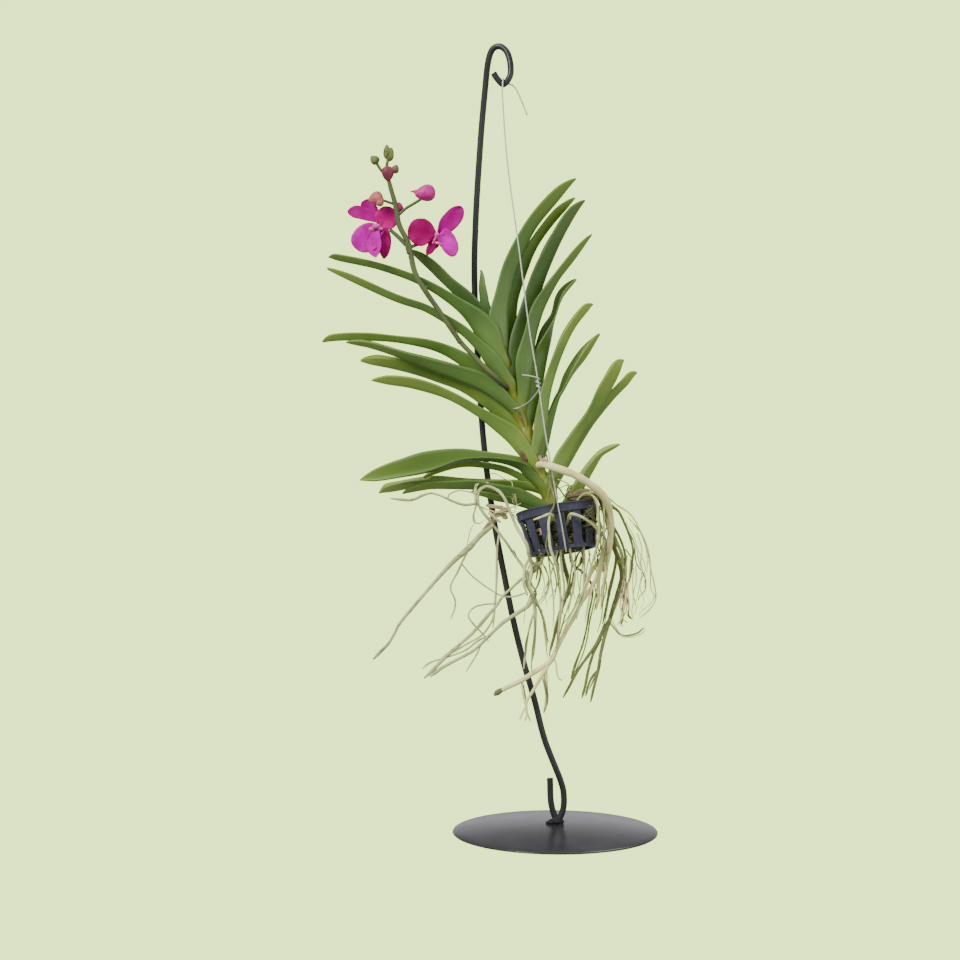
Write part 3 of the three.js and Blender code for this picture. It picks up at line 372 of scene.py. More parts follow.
def settle(bm, verts, radii, turn, centre):
    """Sizes, turns and places a round shape of radius 1, in millimetres and radians."""
    bmesh.ops.scale(bm, verts=verts, vec=Vector(radii) * MM)
    for axis, angle in zip("ZYX", reversed(turn)):
        bmesh.ops.rotate(bm, verts=verts, cent=(0, 0, 0), matrix=Matrix.Rotation(angle, 3, axis))
    bmesh.ops.translate(bm, verts=verts, vec=Vector(centre) * MM)


def lump_mesh(name, lumps, rough=0.0, detail=4):
    """Rounded lumps, each a sphere with its centre, radii and turn in millimetres and radians."""
    bm = bmesh.new()
    for centre, radii, turn in lumps:
        ball = bmesh.ops.create_icosphere(bm, subdivisions=detail, radius=1)["verts"]
        settle(bm, ball, radii, turn, centre)
    bm.normal_update()
    roughened(bm, rough, 400, 1100, 0.6)
    return finished_mesh(bm, name)


rod_paint = powder_coat("rod_paint", ROD_TONE, ROD_WEAR, amount=0.4, smoothest=0.26, roughest=0.4,
                        grain=0.3, specular=0.35)
place(tube_mesh("rod_bent", [(ROD_ROUTE, ROD_RADIUS)], sides=6, steps=10), "rod_metal", [rod_paint],
      "stand_rod", sharp_from=50)
weld_paint = powder_coat("weld_paint", ROD_TONE, ROD_WEAR, amount=0.3, smoothest=0.55, roughest=0.8,
                         grain=0.6, specular=0.15)
place(lump_mesh("weld_bead", WELD, WELD_ROUGH), "rod_metal", [weld_paint], "stand_rod")

# The net basket
# A small net pot moulded in dark blue-grey plastic: a rim band with a thin lip, ribs down to a foot ring and
# two crossed bars under it. It hangs tilted, front up and right side up, and its ribs carry a little lime.

BASKET_TOP = (1.2, 2, 206)
BASKET_HEIGHT = 28.5
BASKET_TOP_RADIUS = 26
BASKET_FOOT_RADIUS = 21
BASKET_LEAN = math.radians(9)
BASKET_FRONT_UP = math.radians(8)
BASKET_SIDES = 112
RIM_HEIGHT = 5.8
RIM_WALL = 1.6
RIM_LIP = (0.5, 1.2)
FOOT_RING = (2.6, 2.2)
RING_ROUNDING = 0.3
RIB_COUNT = 14
RIB_SIZE = (6.1, 1.2)
BAR_SIZE = (2.4, 1.6)
BAR_ANGLES = (45, 135)
BAR_ROUNDING = 0.28
PLASTIC_TONE = (0.034, 0.035, 0.058, 1)
PLASTIC_LIGHT = (0.056, 0.058, 0.09, 1)
LIME_TONE = (0.2, 0.2, 0.19, 1)


def spun_ring(bm, outline):
    """A closed section, as radius and height, spun round the basket's axis."""
    verts = [bm.verts.new((radius, 0, height)) for radius, height in outline]
    edges = [bm.edges.new((verts[i - 1], verts[i])) for i in range(len(verts))]
    bmesh.ops.spin(bm, geom=verts + edges, cent=(0, 0, 0), axis=(0, 0, 1), angle=math.tau, steps=BASKET_SIDES,
                   use_merge=True)


def soft_bar(bm, size, matrix):
    """A bar with slightly rounded edges."""
    made = bmesh.ops.create_cube(bm, size=1, matrix=matrix @ Matrix.Diagonal((*size, 1)))["verts"]
    edges = list({edge for vert in made for edge in vert.link_edges})
    bmesh.ops.bevel(bm, geom=edges, offset=BAR_ROUNDING, offset_type="OFFSET", affect="EDGES", segments=2,
                    profile=0.5, material=-1)


def basket_mesh():
    """The basket made upright in millimetres round its own axis, with the rim's top at zero, then tilted."""
    bm = bmesh.new()
    rim, foot, soft = BASKET_TOP_RADIUS, BASKET_FOOT_RADIUS, RING_ROUNDING
    lip_out, lip_height = RIM_LIP
    inner, rim_foot = rim - RIM_WALL, -RIM_HEIGHT
    foot_inner, foot_top = foot - FOOT_RING[0], FOOT_RING[1] - BASKET_HEIGHT
    spun_ring(bm, [(inner, rim_foot + soft), (inner + soft, rim_foot), (rim - soft, rim_foot),
                   (rim, rim_foot + soft), (rim, -lip_height - soft), (rim + 0.15, -lip_height),
                   (rim + lip_out, -lip_height + 0.2), (rim + lip_out, -0.25), (rim + lip_out - 0.25, 0),
                   (inner + soft, 0), (inner, -soft)])
    spun_ring(bm, [(foot_inner, soft - BASKET_HEIGHT), (foot_inner + soft, -BASKET_HEIGHT),
                   (foot - soft, -BASKET_HEIGHT), (foot, soft - BASKET_HEIGHT), (foot, foot_top - soft),
                   (foot - soft, foot_top), (foot_inner + soft, foot_top), (foot_inner, foot_top - soft)])
    rib_top, rib_foot = 1 - RIM_HEIGHT, 0.6 - BASKET_HEIGHT
    wall = [rim + (foot - rim) * -height / BASKET_HEIGHT for height in (rib_top, rib_foot)]
    slope = math.atan2(wall[0] - wall[1], rib_top - rib_foot)
    rib_length = (rib_top - rib_foot) / math.cos(slope)
    for i in range(RIB_COUNT):
        turn = Matrix.Rotation(i * math.tau / RIB_COUNT, 4, "Z")
        seat = Matrix.Translation((0, 0.8 - sum(wall) / 2, (rib_top + rib_foot) / 2))
        soft_bar(bm, (*RIB_SIZE, rib_length), turn @ seat @ Matrix.Rotation(slope, 4, "X"))
    for angle in BAR_ANGLES:
        seat = Matrix.Rotation(math.radians(angle), 4, "Z") @ Matrix.Translation((0, 0, 0.9 - BASKET_HEIGHT))
        soft_bar(bm, (2 * foot - 3, *BAR_SIZE), seat)
    tilt = Matrix.Rotation(-BASKET_LEAN, 4, "Y") @ Matrix.Rotation(-BASKET_FRONT_UP, 4, "X")
    hung = Matrix.Scale(MM, 4) @ Matrix.Translation(BASKET_TOP) @ tilt
    bmesh.ops.transform(bm, verts=bm.verts, matrix=hung)
    bmesh.ops.recalc_face_normals(bm, faces=bm.faces)
    return finished_mesh(bm, "basket_moulding")


def stain_group():
    """A tone with a soft cloudy change and, past a threshold, patches of another tone."""
    group, inputs, where = open_group("cloud_and_stain", ("Tone", "Cloud", "Stain"),
                                      ("Cloud Scale", "Stain Scale", "Stain Start", "Relief"))
    cloud = clouds(group, where["Object"], {"Scale": inputs["Cloud Scale"], "Detail": 4})
    clouded = blended(group, ranged(group, cloud, 0.3, 0.7), inputs["Tone"], inputs["Cloud"])
    patch = clouds(group, where["Object"], {"Scale": inputs["Stain Scale"], "Detail": 6, "Roughness": 0.65})
    full = worked(group, "ADD", inputs["Stain Start"], 0.12)
    mask = ranged(group, patch, inputs["Stain Start"], full)
    return close_group(group, {
        "Base Color": blended(group, mask, clouded, inputs["Stain"]),
        "Normal": relief(group, patch, inputs["Relief"], 0.4 * MM),
    })


CLOUD_AND_STAIN = stain_group()


def clouded_material(name, tones, scales, start, depth, **values):
    """A material with a tone, clouds and stains, and the scales of both.

    Start is the level of noise where stains begin, and depth how strong their relief is. Other values are
    the shader's plain inputs."""
    tone, cloud, stain = tones
    return dressed(name, CLOUD_AND_STAIN, {
        "Tone": tone, "Cloud": cloud, "Stain": stain, "Cloud Scale": scales[0], "Stain Scale": scales[1],
        "Stain Start": start, "Relief": depth}, **values)


basket_plastic = clouded_material("basket_plastic", (PLASTIC_TONE, PLASTIC_LIGHT, LIME_TONE), (90, 240),
                                  start=0.6, depth=0.25, Roughness=0.45, Specular_IOR_Level=0.25)
place(basket_mesh(), "basket_plastic", [basket_plastic], "net_basket", sharp_from=40)

# The hanger wire and its tie
# A stiff galvanised wire, about a millimetre thick. It is hooked over the stand's hook, with its cut end
# standing out, runs down past the rim and a rib and turns in under the basket. A finer wire is twisted round
# it and bent round the stem.

WIRE_RADIUS = 0.46
TIE_RADIUS = 0.4
TIE_SLACK = 0.45
TIE_TAIL = [(-21.4, -21.6, 289), (-17, -22.2, 288.4), (-13.6, -23, 287.6)]
TIE_LOOP = [(-13.2, -19, 276.6), (-17, -14.5, 272.6), (-22, -10, 269.6), (-25.6, -7.6, 268.6),
            (-27, -4, 268.5)]
TIE_TOP = (-11.9, -21.9, 287)
TIE_RUN = (1, -0.4, -7)
TIE_POINTS = 16
TIE_POINT_TURN = math.radians(60)
WIRE_TONES = ((0.5, 0.54, 0.42, 1), (0.68, 0.73, 0.57, 1), (0.26, 0.27, 0.22, 1))
WIRE_ROUTE = [
    [6, -18.8, 179.2], [5.9, -22.6, 179.1], [5.5, -24.3, 181.4], [4.1, -24.4, 190], [2.4, -24.8, 199.5],
    [0.3, -25.2, 210], [-3.2, -24.8, 230], [-7.4, -23.7, 255], [-12, -21.9, 288], [-17.1, -20.2, 319],
    [-23.5, -17.5, 369.8], [-30.2, -14.2, 420.5], [-33.4, -12.9, 462], [-33.4, -12.8, 471.5],
    [-33.1, -12, 474.8], [-32.9, -9.5, 476.1], [-32.7, -7, 475], [-31.6, -5.7, 473.2],
    [-29.2, -5.4, 473.8], [-25.4, -5.8, 471.3], [-21.6, -6, 463.6], [-17.8, -6.4, 453.9],
]

tie_reach = WIRE_RADIUS + TIE_RADIUS + TIE_SLACK
tie_turns = []
for i in range(TIE_POINTS):
    angle = i * TIE_POINT_TURN - math.radians(90)
    middle = Vector(TIE_TOP) + Vector(TIE_RUN) * (i / (TIE_POINTS - 1))
    tie_turns.append(tuple(middle + tie_reach * Vector((math.cos(angle), math.sin(angle), 0))))
galvanised = clouded_material("galvanised_wire", WIRE_TONES, (300, 700), start=0.62, depth=0.3,
                              Metallic=0.65, Roughness=0.42)
place(tube_mesh("hanger_wire_drawn", [(WIRE_ROUTE, WIRE_RADIUS)], steps=8), "galvanised_wire", [galvanised],
      "hanger_wire")
place(tube_mesh("stem_tie_twisted", [(TIE_TAIL + tie_turns + TIE_LOOP, TIE_RADIUS)]), "galvanised_wire",
      [galvanised], "stem_tie")

# The stem and its leaves
# The stem is hidden in the leaves' sheaths. Each strap leaf starts as a sheath that clasps the stem, folds up
# along its keel and opens into an arching channel with a blunt, unevenly notched tip. Waxy mid green, paler
# and greyer below, with a yellow-green base and fine lines that run its whole length.

STEM_ROUTE = [
    [1.5, -0.5, 190], [0, -0.5, 200], [-3.2, 0, 211], [-7.5, 0, 223], [-12.4, 0, 235], [-17.1, 0, 249],
    [-21.4, 0, 262], [-25.8, 0, 276], [-30, 0, 289], [-33.4, 0, 301], [-36, 0, 311],
]
STEM_RADII = [3.6, 4.6, 4.2, 4.8, 4.3, 4.8, 4.2, 4.5, 3.9, 3.5, 2.2]
STEM_CORE_SHARE = 0.6
SHEATH_TONE = (0.235, 0.275, 0.024, 1)
SHEATH_LIGHT = (0.33, 0.37, 0.07, 1)
SHEATH_BROWN = (0.2, 0.1, 0.045, 1)
SHEATH_DROPS = (0.13, 0.065)
SHEATH_HALF_WIDTHS = (2.4, 3.5, 4.2)
SHEATH_HALF_HEIGHTS = (2.9, 4.3)
SHEATH_TURN = 2.6
SHEATH_OPENS = 0.6
SHEATH_END = 0.24
LEAF_THICK = 0.9
LEAF_STEPS = 56
LEAF_ACROSS = 14
LEAF_FOLD = (72, 66, 60, 54, 48)
LEAF_WAVE = 0.9
LEAF_WAVE_FROM = (0.2, 0.5)
LEAF_EDGE_DROOP = 0.1
LEAF_DROOP_FROM = (0.15, 0.5)
KEEL_ROUNDING = (0.12, 0.4)
BASE_SWELL = 0.42
BASE_SWELL_UNTIL = (0.05, 0.4)
TIP_SWELL = 0.1
TIP_SWELL_FROM = (0.72, 0.94)
TIP_START = 0.88
TIP_BLUNT = 0.97
TIP_NOTCH = 0.8
FACE_LEFT = (0.3, 0, 1)
FACE_RIGHT = (-1, 0, 0.3)
# Lightness steps of one leaf colour, each as deep, bright, under and tip tones. Each leaf takes the step that
# matched how light or dark it looks where it hangs. So these hold the leaves' own differences in colour, and
# also painted light and painted shade: leaves and undersides that lie in shade are painted lighter, and some
# lit ones darker.
LEAF_TONES = {
    "leaf_dark": ((0.042, 0.088, 0.016, 1), (0.095, 0.168, 0.032, 1), (0.07, 0.125, 0.032, 1),
                  (0.11, 0.18, 0.03, 1)),
    "leaf_green": ((0.06, 0.128, 0.02, 1), (0.148, 0.25, 0.04, 1), (0.092, 0.165, 0.038, 1),
                   (0.19, 0.28, 0.04, 1)),
    "leaf_fresh_painted_light": ((0.085, 0.17, 0.026, 1), (0.195, 0.312, 0.052, 1), (0.125, 0.21, 0.048, 1),
                   (0.25, 0.35, 0.05, 1)),
    "leaf_light": ((0.105, 0.193, 0.027, 1), (0.265, 0.367, 0.056, 1), (0.17, 0.26, 0.056, 1),
                   (0.32, 0.42, 0.06, 1)),
    "leaf_broad": ((0.05, 0.11, 0.017, 1), (0.12, 0.21, 0.033, 1), (0.13, 0.215, 0.045, 1),
                   (0.18, 0.27, 0.038, 1)),
}
# Which step each leaf takes, where it differs from its slot's. This is partly the leaf's own colour, and
# partly painted light on leaves in shade and painted shade on lit ones.
LEAF_LOOKS_WITH_PAINTED_LIGHT = {
    "leaf_left_01": "leaf_green", "leaf_left_02": "leaf_green", "leaf_left_04": "leaf_light",
    "leaf_left_05": "leaf_broad", "leaf_left_09": "leaf_fresh_painted_light", "leaf_right_03": "leaf_light",
    "leaf_right_04": "leaf_fresh_painted_light", "leaf_right_05": "leaf_light", "leaf_right_08": "leaf_dark",
    "leaf_left_13": "leaf_dark", "leaf_right_06": "leaf_green", "leaf_right_09": "leaf_fresh_painted_light",
}
LEAVES = [
    ["leaf_left_01", "leaf_dark", FACE_LEFT, [0, 0],
      [[-6, -1, 206, 5], [-22, -2, 210, 5], [-33, -3, 212, 5], [-44, -4, 214.6, 4], [-53, -5, 217.2, 2]]],
    ["leaf_left_02", "leaf_dark", FACE_LEFT, [0, -8],
      [[-6, -1, 207.6, 7], [-24, -3, 214.5, 7], [-42, -4, 219, 6.5], [-60, -4, 221, 6],
        [-80, -4, 220.3, 4.4], [-97, -4, 216.2, 2.4]]],
    ["leaf_left_03", "leaf_light", FACE_LEFT, [0, -20],
      [[-7, 2, 217, 4.5], [-19, 3.5, 220.4, 4.5], [-42, 4, 221.5, 5], [-62, 4, 222.5, 5.5],
        [-83, 4, 222.4, 6], [-103, 4, 219.2, 5.4], [-112.5, 4, 216.5, 2.6]]],
    ["leaf_left_04", "leaf_dark", FACE_LEFT, [0, 0],
      [[-9, 1, 219, 3.6], [-16, 2, 222.6, 4], [-28, 3, 229, 4], [-42, 3, 233, 4], [-60, 3, 233.8, 3.6],
        [-84, 3, 226, 2]]],
    ["leaf_left_05", "leaf_green", FACE_LEFT, [0, -34, -54, -46],
      [[-8, -1, 220, 5], [-15, -2, 228, 6], [-23, -3, 234, 6], [-40, -4, 237.6, 5.6], [-60, -6, 238, 8],
        [-80, -8, 233, 11.4], [-98, -9, 228.8, 9], [-112, -10, 225.8, 5.6], [-123.5, -10, 224.2, 2.2]]],
    ["leaf_left_06", "leaf_light", FACE_LEFT, [0, -6],
      [[-13, -1, 236, 8], [-24, -2, 250, 8.6], [-38, -3, 260.5, 7.5], [-50, -4, 268, 5.8],
        [-68, -5, 278, 6], [-88, -6, 285, 7], [-104, -6, 287, 6], [-116, -6, 288, 2.6]]],
    ["leaf_left_07", "leaf_light", FACE_LEFT, [0, -10],
      [[-20, 2, 256, 8], [-35, 3, 270, 9], [-55, 3, 283, 9], [-75, 3, 291, 9], [-95, 3, 297, 8.5],
        [-110, 3, 299.4, 7], [-123.5, 3, 301, 3]]],
    ["leaf_left_08", "leaf_green", FACE_LEFT, [0, -12],
      [[-26, -2, 271, 7], [-42, -4, 284, 8], [-60, -5, 291.5, 9], [-80, -6, 297.5, 8],
        [-100, -6, 303.8, 5.4], [-120, -6, 310, 4], [-132, -6, 311.5, 2.2]]],
    ["leaf_left_09", "leaf_dark", FACE_LEFT, [0, 0],
      [[-27, 2, 275, 8], [-36, 3, 283, 8.5], [-50, 3, 295, 8.5], [-64, 3, 304, 8], [-80, 2, 310.5, 6],
        [-100, 1, 313.5, 3.6], [-120, 0, 315, 4.5], [-140, 0, 314.5, 4], [-148, 0, 312.5, 2.2]]],
    ["leaf_left_10", "leaf_green", FACE_LEFT, [0, 0],
      [[-29, -2, 287, 8], [-38, -3, 298, 8], [-47.6, -3, 308.8, 6], [-60.3, -4, 320, 5.7],
        [-79.4, -4, 331.3, 4.7], [-98.4, -4, 338, 4.7], [-123.8, -4, 349.4, 3.8],
        [-143.8, -4, 358.6, 2]]],
    ["leaf_left_11", "leaf_green", FACE_LEFT, [0, -8],
      [[-32.5, -1, 300, 9], [-40, -2, 313, 11.5], [-49, -2, 325.5, 11.5], [-63.5, -2, 337.4, 7.4],
        [-85.7, -3, 350, 5], [-111, -3, 359.3, 4], [-136.5, -3, 364.7, 3.8], [-143.5, -3, 365.6, 2.2]]],
    ["leaf_left_12", "leaf_dark", FACE_LEFT, [0, 0],
      [[-35, 3, 309, 8], [-42, 3.6, 322, 9], [-54, 3.4, 338, 9], [-66.7, 4, 350, 7.6],
        [-79.4, 4, 361.5, 6], [-92, 4, 371, 2.4]]],
    ["leaf_left_13", "leaf_green", FACE_LEFT, [0, 0],
      [[-36, 0, 311, 5], [-40.4, 0, 321, 6], [-43, 0, 330, 6], [-45.2, 0, 343, 5], [-46.4, 0, 357, 1.5]]],
    ["leaf_right_01", "leaf_light", FACE_RIGHT, [0, 20],
      [[2, -3, 202, 4], [10, -7, 212, 6], [16.5, -6.6, 223, 7], [22.5, -5, 233, 5.6], [30, -4, 241, 3.4],
        [40.6, -4, 247, 1.8]]],
    ["leaf_right_02", "leaf_light", FACE_RIGHT, [0, 0],
      [[-1, 5, 222, 5], [10, 6.5, 241, 5], [19, 7, 255, 5], [27, 7, 267, 6], [37, 7, 278.4, 5.6],
        [46, 7, 288, 5], [51.7, 7, 293.5, 3]]],
    ["leaf_right_03", "leaf_green", FACE_RIGHT, [0, 0],
      [[-6, 0, 220, 6], [3, 1, 235, 7.5], [12, 1, 251, 6.4], [22.5, 1, 266, 6.5], [30, 1, 280, 8.5],
        [38, 1, 294, 7], [42, 1, 301, 4]]],
    ["leaf_right_04", "leaf_green", FACE_RIGHT, [0, 0, 40, 0],
      [[-11, 4, 233, 5], [-7.4, 5, 247, 5], [-4, 5, 260, 5], [1, 5, 274, 3.4], [4, 5, 280, 2.6],
        [9.5, 5, 291, 4.5], [17.5, 5, 303, 5.5], [27.5, 5, 317.8, 3]]],
    ["leaf_right_05", "leaf_green", FACE_RIGHT, [0, 0],
      [[-14, -1, 240, 6], [-10, -2, 256, 6.4], [-6, -2, 280, 6], [0.5, -2, 300.5, 5.5], [7, -2, 316, 5],
        [17, -2, 330.5, 4.5], [23.3, -2, 336, 2.6]]],
    ["leaf_right_06", "leaf_dark", FACE_RIGHT, [0, 0, 50, 20],
      [[-19, 3, 262, 8], [-14, 3, 284, 9], [-10, 3, 301, 9.5], [-5.4, 3, 316, 8], [-0.5, 3, 328, 3],
        [4, 3, 341, 4], [12.8, 3, 352.3, 2.2]]],
    ["leaf_right_07", "leaf_green", FACE_RIGHT, [0, 0],
      [[-21.6, -0.6, 277, 7], [-20, -3, 296, 9], [-17, -4, 313, 8.6], [-12, -4, 331, 8], [-3, -4, 347, 6],
        [8, -4, 362, 4.5], [22.5, -4, 379.8, 2.4]]],
    ["leaf_right_08", "leaf_green", FACE_RIGHT, [0, 0],
      [[-29, 1, 290, 8], [-24, 1.5, 308, 9.5], [-18.6, 1.5, 329, 10], [-12, 1.5, 350, 9.6],
        [-4, 1.5, 369, 9], [7, 1.5, 389, 6.6], [18, 1.5, 402.5, 2.8]]],
    ["leaf_right_09", "leaf_dark", FACE_RIGHT, [0, 0],
      [[-32, 5, 301, 7], [-30, 6, 322, 8], [-26, 6, 345, 8], [-17, 6, 368.5, 7], [-3, 6, 389.5, 6],
        [12, 6, 405, 3]]],
    ["leaf_right_10", "leaf_green", FACE_RIGHT, [0, 0],
      [[-36, -1, 309, 9], [-36.4, -2, 323, 10], [-34.6, -2, 337, 10], [-29, -2, 359, 9.5],
        [-18, -2, 381.5, 8.5], [-3, -2, 401, 7], [12.5, -2, 415.5, 3]]],
]


def smooth_point(points, along):
    """A point on the smooth curve through evenly spaced points of any number of values."""
    last = len(points) - 1
    position = min(max(along, 0), 1) * last
    i = min(int(position), last - 1)
    share = position - i
    here, after = Vector(points[i]), Vector(points[i + 1])
    before = Vector(points[i - 1]) if i > 0 else 2 * here - after
    beyond = Vector(points[i + 2]) if i + 2 <= last else 2 * after - here
    slope, next_slope = (after - before) / 2, (beyond - here) / 2
    gap = after - here
    return here + share * (slope + share * ((3 * gap - 2 * slope - next_slope)
                                            + share * (slope + next_slope - 2 * gap)))


def frame_at(points, along, face):
    """The way that the smooth curve runs, and the way nearest to a face's that stands square to it."""
    step = 0.002
    tangent = (smooth_point(points, along + step) - smooth_point(points, along - step)).xyz.normalized()
    up = Vector(face)
    return tangent, (up - up.dot(tangent) * tangent).normalized()


def eased(value, low, high):
    """0 below low, 1 above high and smooth between."""
    share = min(max((value - low) / (high - low), 0), 1)
    return share * share * (3 - 2 * share)


def stem_share(point):
    """How far up the stem a point lies."""
    return min((i / 200 for i in range(201)), key=lambda s: (smooth_point(STEM_ROUTE, s) - point).length)


def with_sheath(rows):
    """The blade's rows with those of its sheath set before them, down the stem."""
    foot = stem_share(Vector(rows[0][:3]))
    below = [max(foot - drop, 0) for drop in SHEATH_DROPS]
    return [(*smooth_point(STEM_ROUTE, share), rows[0][3]) for share in below] + list(rows)


def leaf_point(rows, face, roll, along, across, seed):
    """A point of the leaf in millimetres. Across runs from -1 to 1, with the keel at 0."""
    row = smooth_point(rows, along)
    tangent, up = frame_at(rows, along, face)
    sheath_rows = len(SHEATH_DROPS)
    spans = len(rows) - 1
    on_blade = max((along * spans - sheath_rows) / (spans - sheath_rows), 0)
    swell = 1 + BASE_SWELL * (1 - eased(on_blade, *BASE_SWELL_UNTIL))
    swell += TIP_SWELL * eased(on_blade, *TIP_SWELL_FROM)
    spine, height = row.xyz, max(row.w, 0.2) * swell
    up.rotate(Matrix.Rotation(math.radians(mix(roll, on_blade)), 3, tangent))
    side = tangent.cross(up)
    fold = math.radians(mix(LEAF_FOLD, on_blade))
    tip = min(max((on_blade - TIP_START) / (1 - TIP_START), 0), 1)
    reach = height / math.sin(fold) * math.sqrt(1 - TIP_BLUNT * tip ** 2)
    soft = KEEL_ROUNDING[0] + KEEL_ROUNDING[1] * on_blade
    rise = (math.hypot(across, soft) - soft) / (math.hypot(1, soft) - soft)
    rise -= LEAF_EDGE_DROOP * abs(across) ** 3 * eased(on_blade, *LEAF_DROOP_FROM)
    ripple = noise.noise(Vector((on_blade * 5, across * 0.6, 0)) + seed)
    wave = ripple * LEAF_WAVE * eased(on_blade, *LEAF_WAVE_FROM)
    notch = TIP_NOTCH * (1 - abs(across)) ** 2 * tip
    blade = spine - tangent * notch + side * across * reach * math.cos(fold)
    blade += up * (rise * reach * math.sin(fold) - 0.5 * height + wave)
    opening = min(along * spans / sheath_rows, 1)
    turn = across * (SHEATH_TURN - SHEATH_OPENS * opening)
    clasp = spine + side * math.sin(turn) * mix(SHEATH_HALF_WIDTHS, opening)
    clasp -= up * math.cos(turn) * mix((*SHEATH_HALF_HEIGHTS, 0.5 * height), opening)
    return clasp.lerp(blade, eased(on_blade, 0, SHEATH_END))


def leaf_mesh(name, rows, face, roll):
    """A sheath round the stem that flows into the folded blade, as one surface."""
    bm = bmesh.new()
    bm.loops.layers.uv.new("along_across")
    bmesh.ops.create_grid(bm, x_segments=LEAF_STEPS, y_segments=LEAF_ACROSS, size=0.5, calc_uvs=True)
    whole = with_sheath(rows)
    seed = Vector((rows[-1][0], rows[-1][2], 0))
    for vertex in bm.verts:
        vertex.co = leaf_point(whole, face, roll, vertex.co.x + 0.5, vertex.co.y * 2, seed) * MM
    return finished_mesh(bm, name)


def leaf_group():
    """Leaf tissue on a blade's own map, which runs from base to tip and from margin to margin."""
    group, inputs, where = open_group("leaf_tissue", ("Deep", "Bright", "Base Tone", "Tip Tone"))
    axes = add_node(group, "ShaderNodeSeparateXYZ", {"Vector": where["UV"]}).outputs
    cloud = clouds(group, where["Object"], {"Scale": 38, "Detail": 3})
    stretched = add_node(group, "ShaderNodeMapping", {"Vector": where["UV"], "Scale": (1.5, 34, 1)})
    line = clouds(group, stretched.outputs[0], {"Scale": 1.0, "Detail": 3})
    lined = worked(group, "MULTIPLY", line, ranged(group, cloud, 0.3, 0.7))
    body = blended(group, lined, inputs["Deep"], inputs["Bright"])
    off_keel = worked(group, "ABSOLUTE", worked(group, "SUBTRACT", axes["Y"], 0.5))
    keel = ranged(group, off_keel, 0.0, 0.035, 0.55, 0.0)
    margin = ranged(group, off_keel, 0.46, 0.5, 0.0, 0.22)
    edged = blended(group, worked(group, "MAXIMUM", keel, margin), body, inputs["Bright"])
    base = ranged(group, axes["X"], 0.06, 0.32, 1.0, 0.0, interpolation_type="SMOOTHSTEP")
    based = blended(group, base, edged, inputs["Base Tone"])
    end = ranged(group, axes["X"], 0.66, 1.0, 0.0, 0.75, interpolation_type="SMOOTHSTEP")
    return close_group(group, {
        "Base Color": blended(group, end, based, inputs["Tip Tone"]),
        "Roughness": ranged(group, cloud, to_low=0.34, to_high=0.5),
        "Normal": relief(group, line, 0.35, 0.3 * MM),
    })


def add_wall(piece, thick, inner_material=0):
    """Gives a sheet its thickness, half to each side. Its other face takes the material inner_material slots
    further on, so the same one by default.
    """
    wall = piece.modifiers.new("wall", "SOLIDIFY")
    wall.thickness = thick * MM
    wall.offset = 0
    wall.material_offset = inner_material


LEAF_TISSUE = leaf_group()
leaf_skins = {}
for tone_name, (deep, bright, under, tip_tone) in LEAF_TONES.items():
    tones = {"Bright": bright, "Base Tone": SHEATH_TONE, "Tip Tone": tip_tone}
    leaf_skins[tone_name] = [
        dressed(tone_name + "_upper", LEAF_TISSUE, {"Deep": deep, **tones}, Coat_Weight=0.12,
                Coat_Roughness=0.35),
        dressed(tone_name + "_under", LEAF_TISSUE, {"Deep": under, **tones}),
    ]

for leaf_name, leaf_slot, leaf_face, leaf_roll, leaf_rows in LEAVES:
    blade = leaf_mesh(leaf_name + "_blade", leaf_rows, leaf_face, leaf_roll)
    skins = leaf_skins[LEAF_LOOKS_WITH_PAINTED_LIGHT.get(leaf_name, leaf_slot)]
    add_wall(place(blade, leaf_slot, skins, leaf_name), LEAF_THICK, inner_material=1)

stem_skin = clouded_material("stem_skin", (SHEATH_TONE, SHEATH_LIGHT, SHEATH_BROWN), (60, 200),
                             start=0.62, depth=0.3, Roughness=0.5)
core_radii = [STEM_CORE_SHARE * radius for radius in STEM_RADII]
place(tube_mesh("stem_core", [(STEM_ROUTE, core_radii)], sides=6, rough=0.3), "stem", [stem_skin], "stem")

# The dry scraps on the stem
# What is left of the oldest leaf sheaths: narrow brown papery scraps that cling to the stem's joints.
# They are thin and rough, and lie close to it.

SCRAP_TONES = ((0.1, 0.05, 0.03, 1), (0.2, 0.125, 0.06, 1), SHEATH_LIGHT)
SCRAPS = [
    ([(-23, -5.4, 267), (-21.4, -5.6, 262), (-19.4, -5.4, 257)], [0.25, 0.8, 0.25]),
    ([(-22.4, -4, 242.6), (-20.6, -4.8, 239.8), (-18, -5, 236)], [0.5, 1.3, 0.4]),
    ([(-21.4, -3.6, 239), (-19.6, -4.6, 236.4), (-16.6, -5, 232.5)], [0.3, 0.9, 0.3]),
    ([(-10.6, -4.6, 241), (-9.4, -5.2, 237), (-8.2, -5, 233)], [0.4, 1.0, 0.4]),
    ([(-7.4, -4.4, 239), (-6.6, -4.8, 235), (-6.4, -4.6, 230.5)], [0.25, 0.7, 0.3]),
]

scrap_skin = clouded_material("scrap_skin", SCRAP_TONES, (300, 500), start=0.64, depth=0.6,
                              Roughness=0.8, Specular_IOR_Level=0.2)
place(tube_mesh("sheath_scraps", SCRAPS, sides=2, rough=0.35), "stem", [scrap_skin])

# The thick root
# One old aerial root, cream and nearly 5 mm thick, grows from the stem over the front rim, bends down on the
# right and crosses under the basket to the left. It forks on its way, and its dry skin ends in a dark tip.

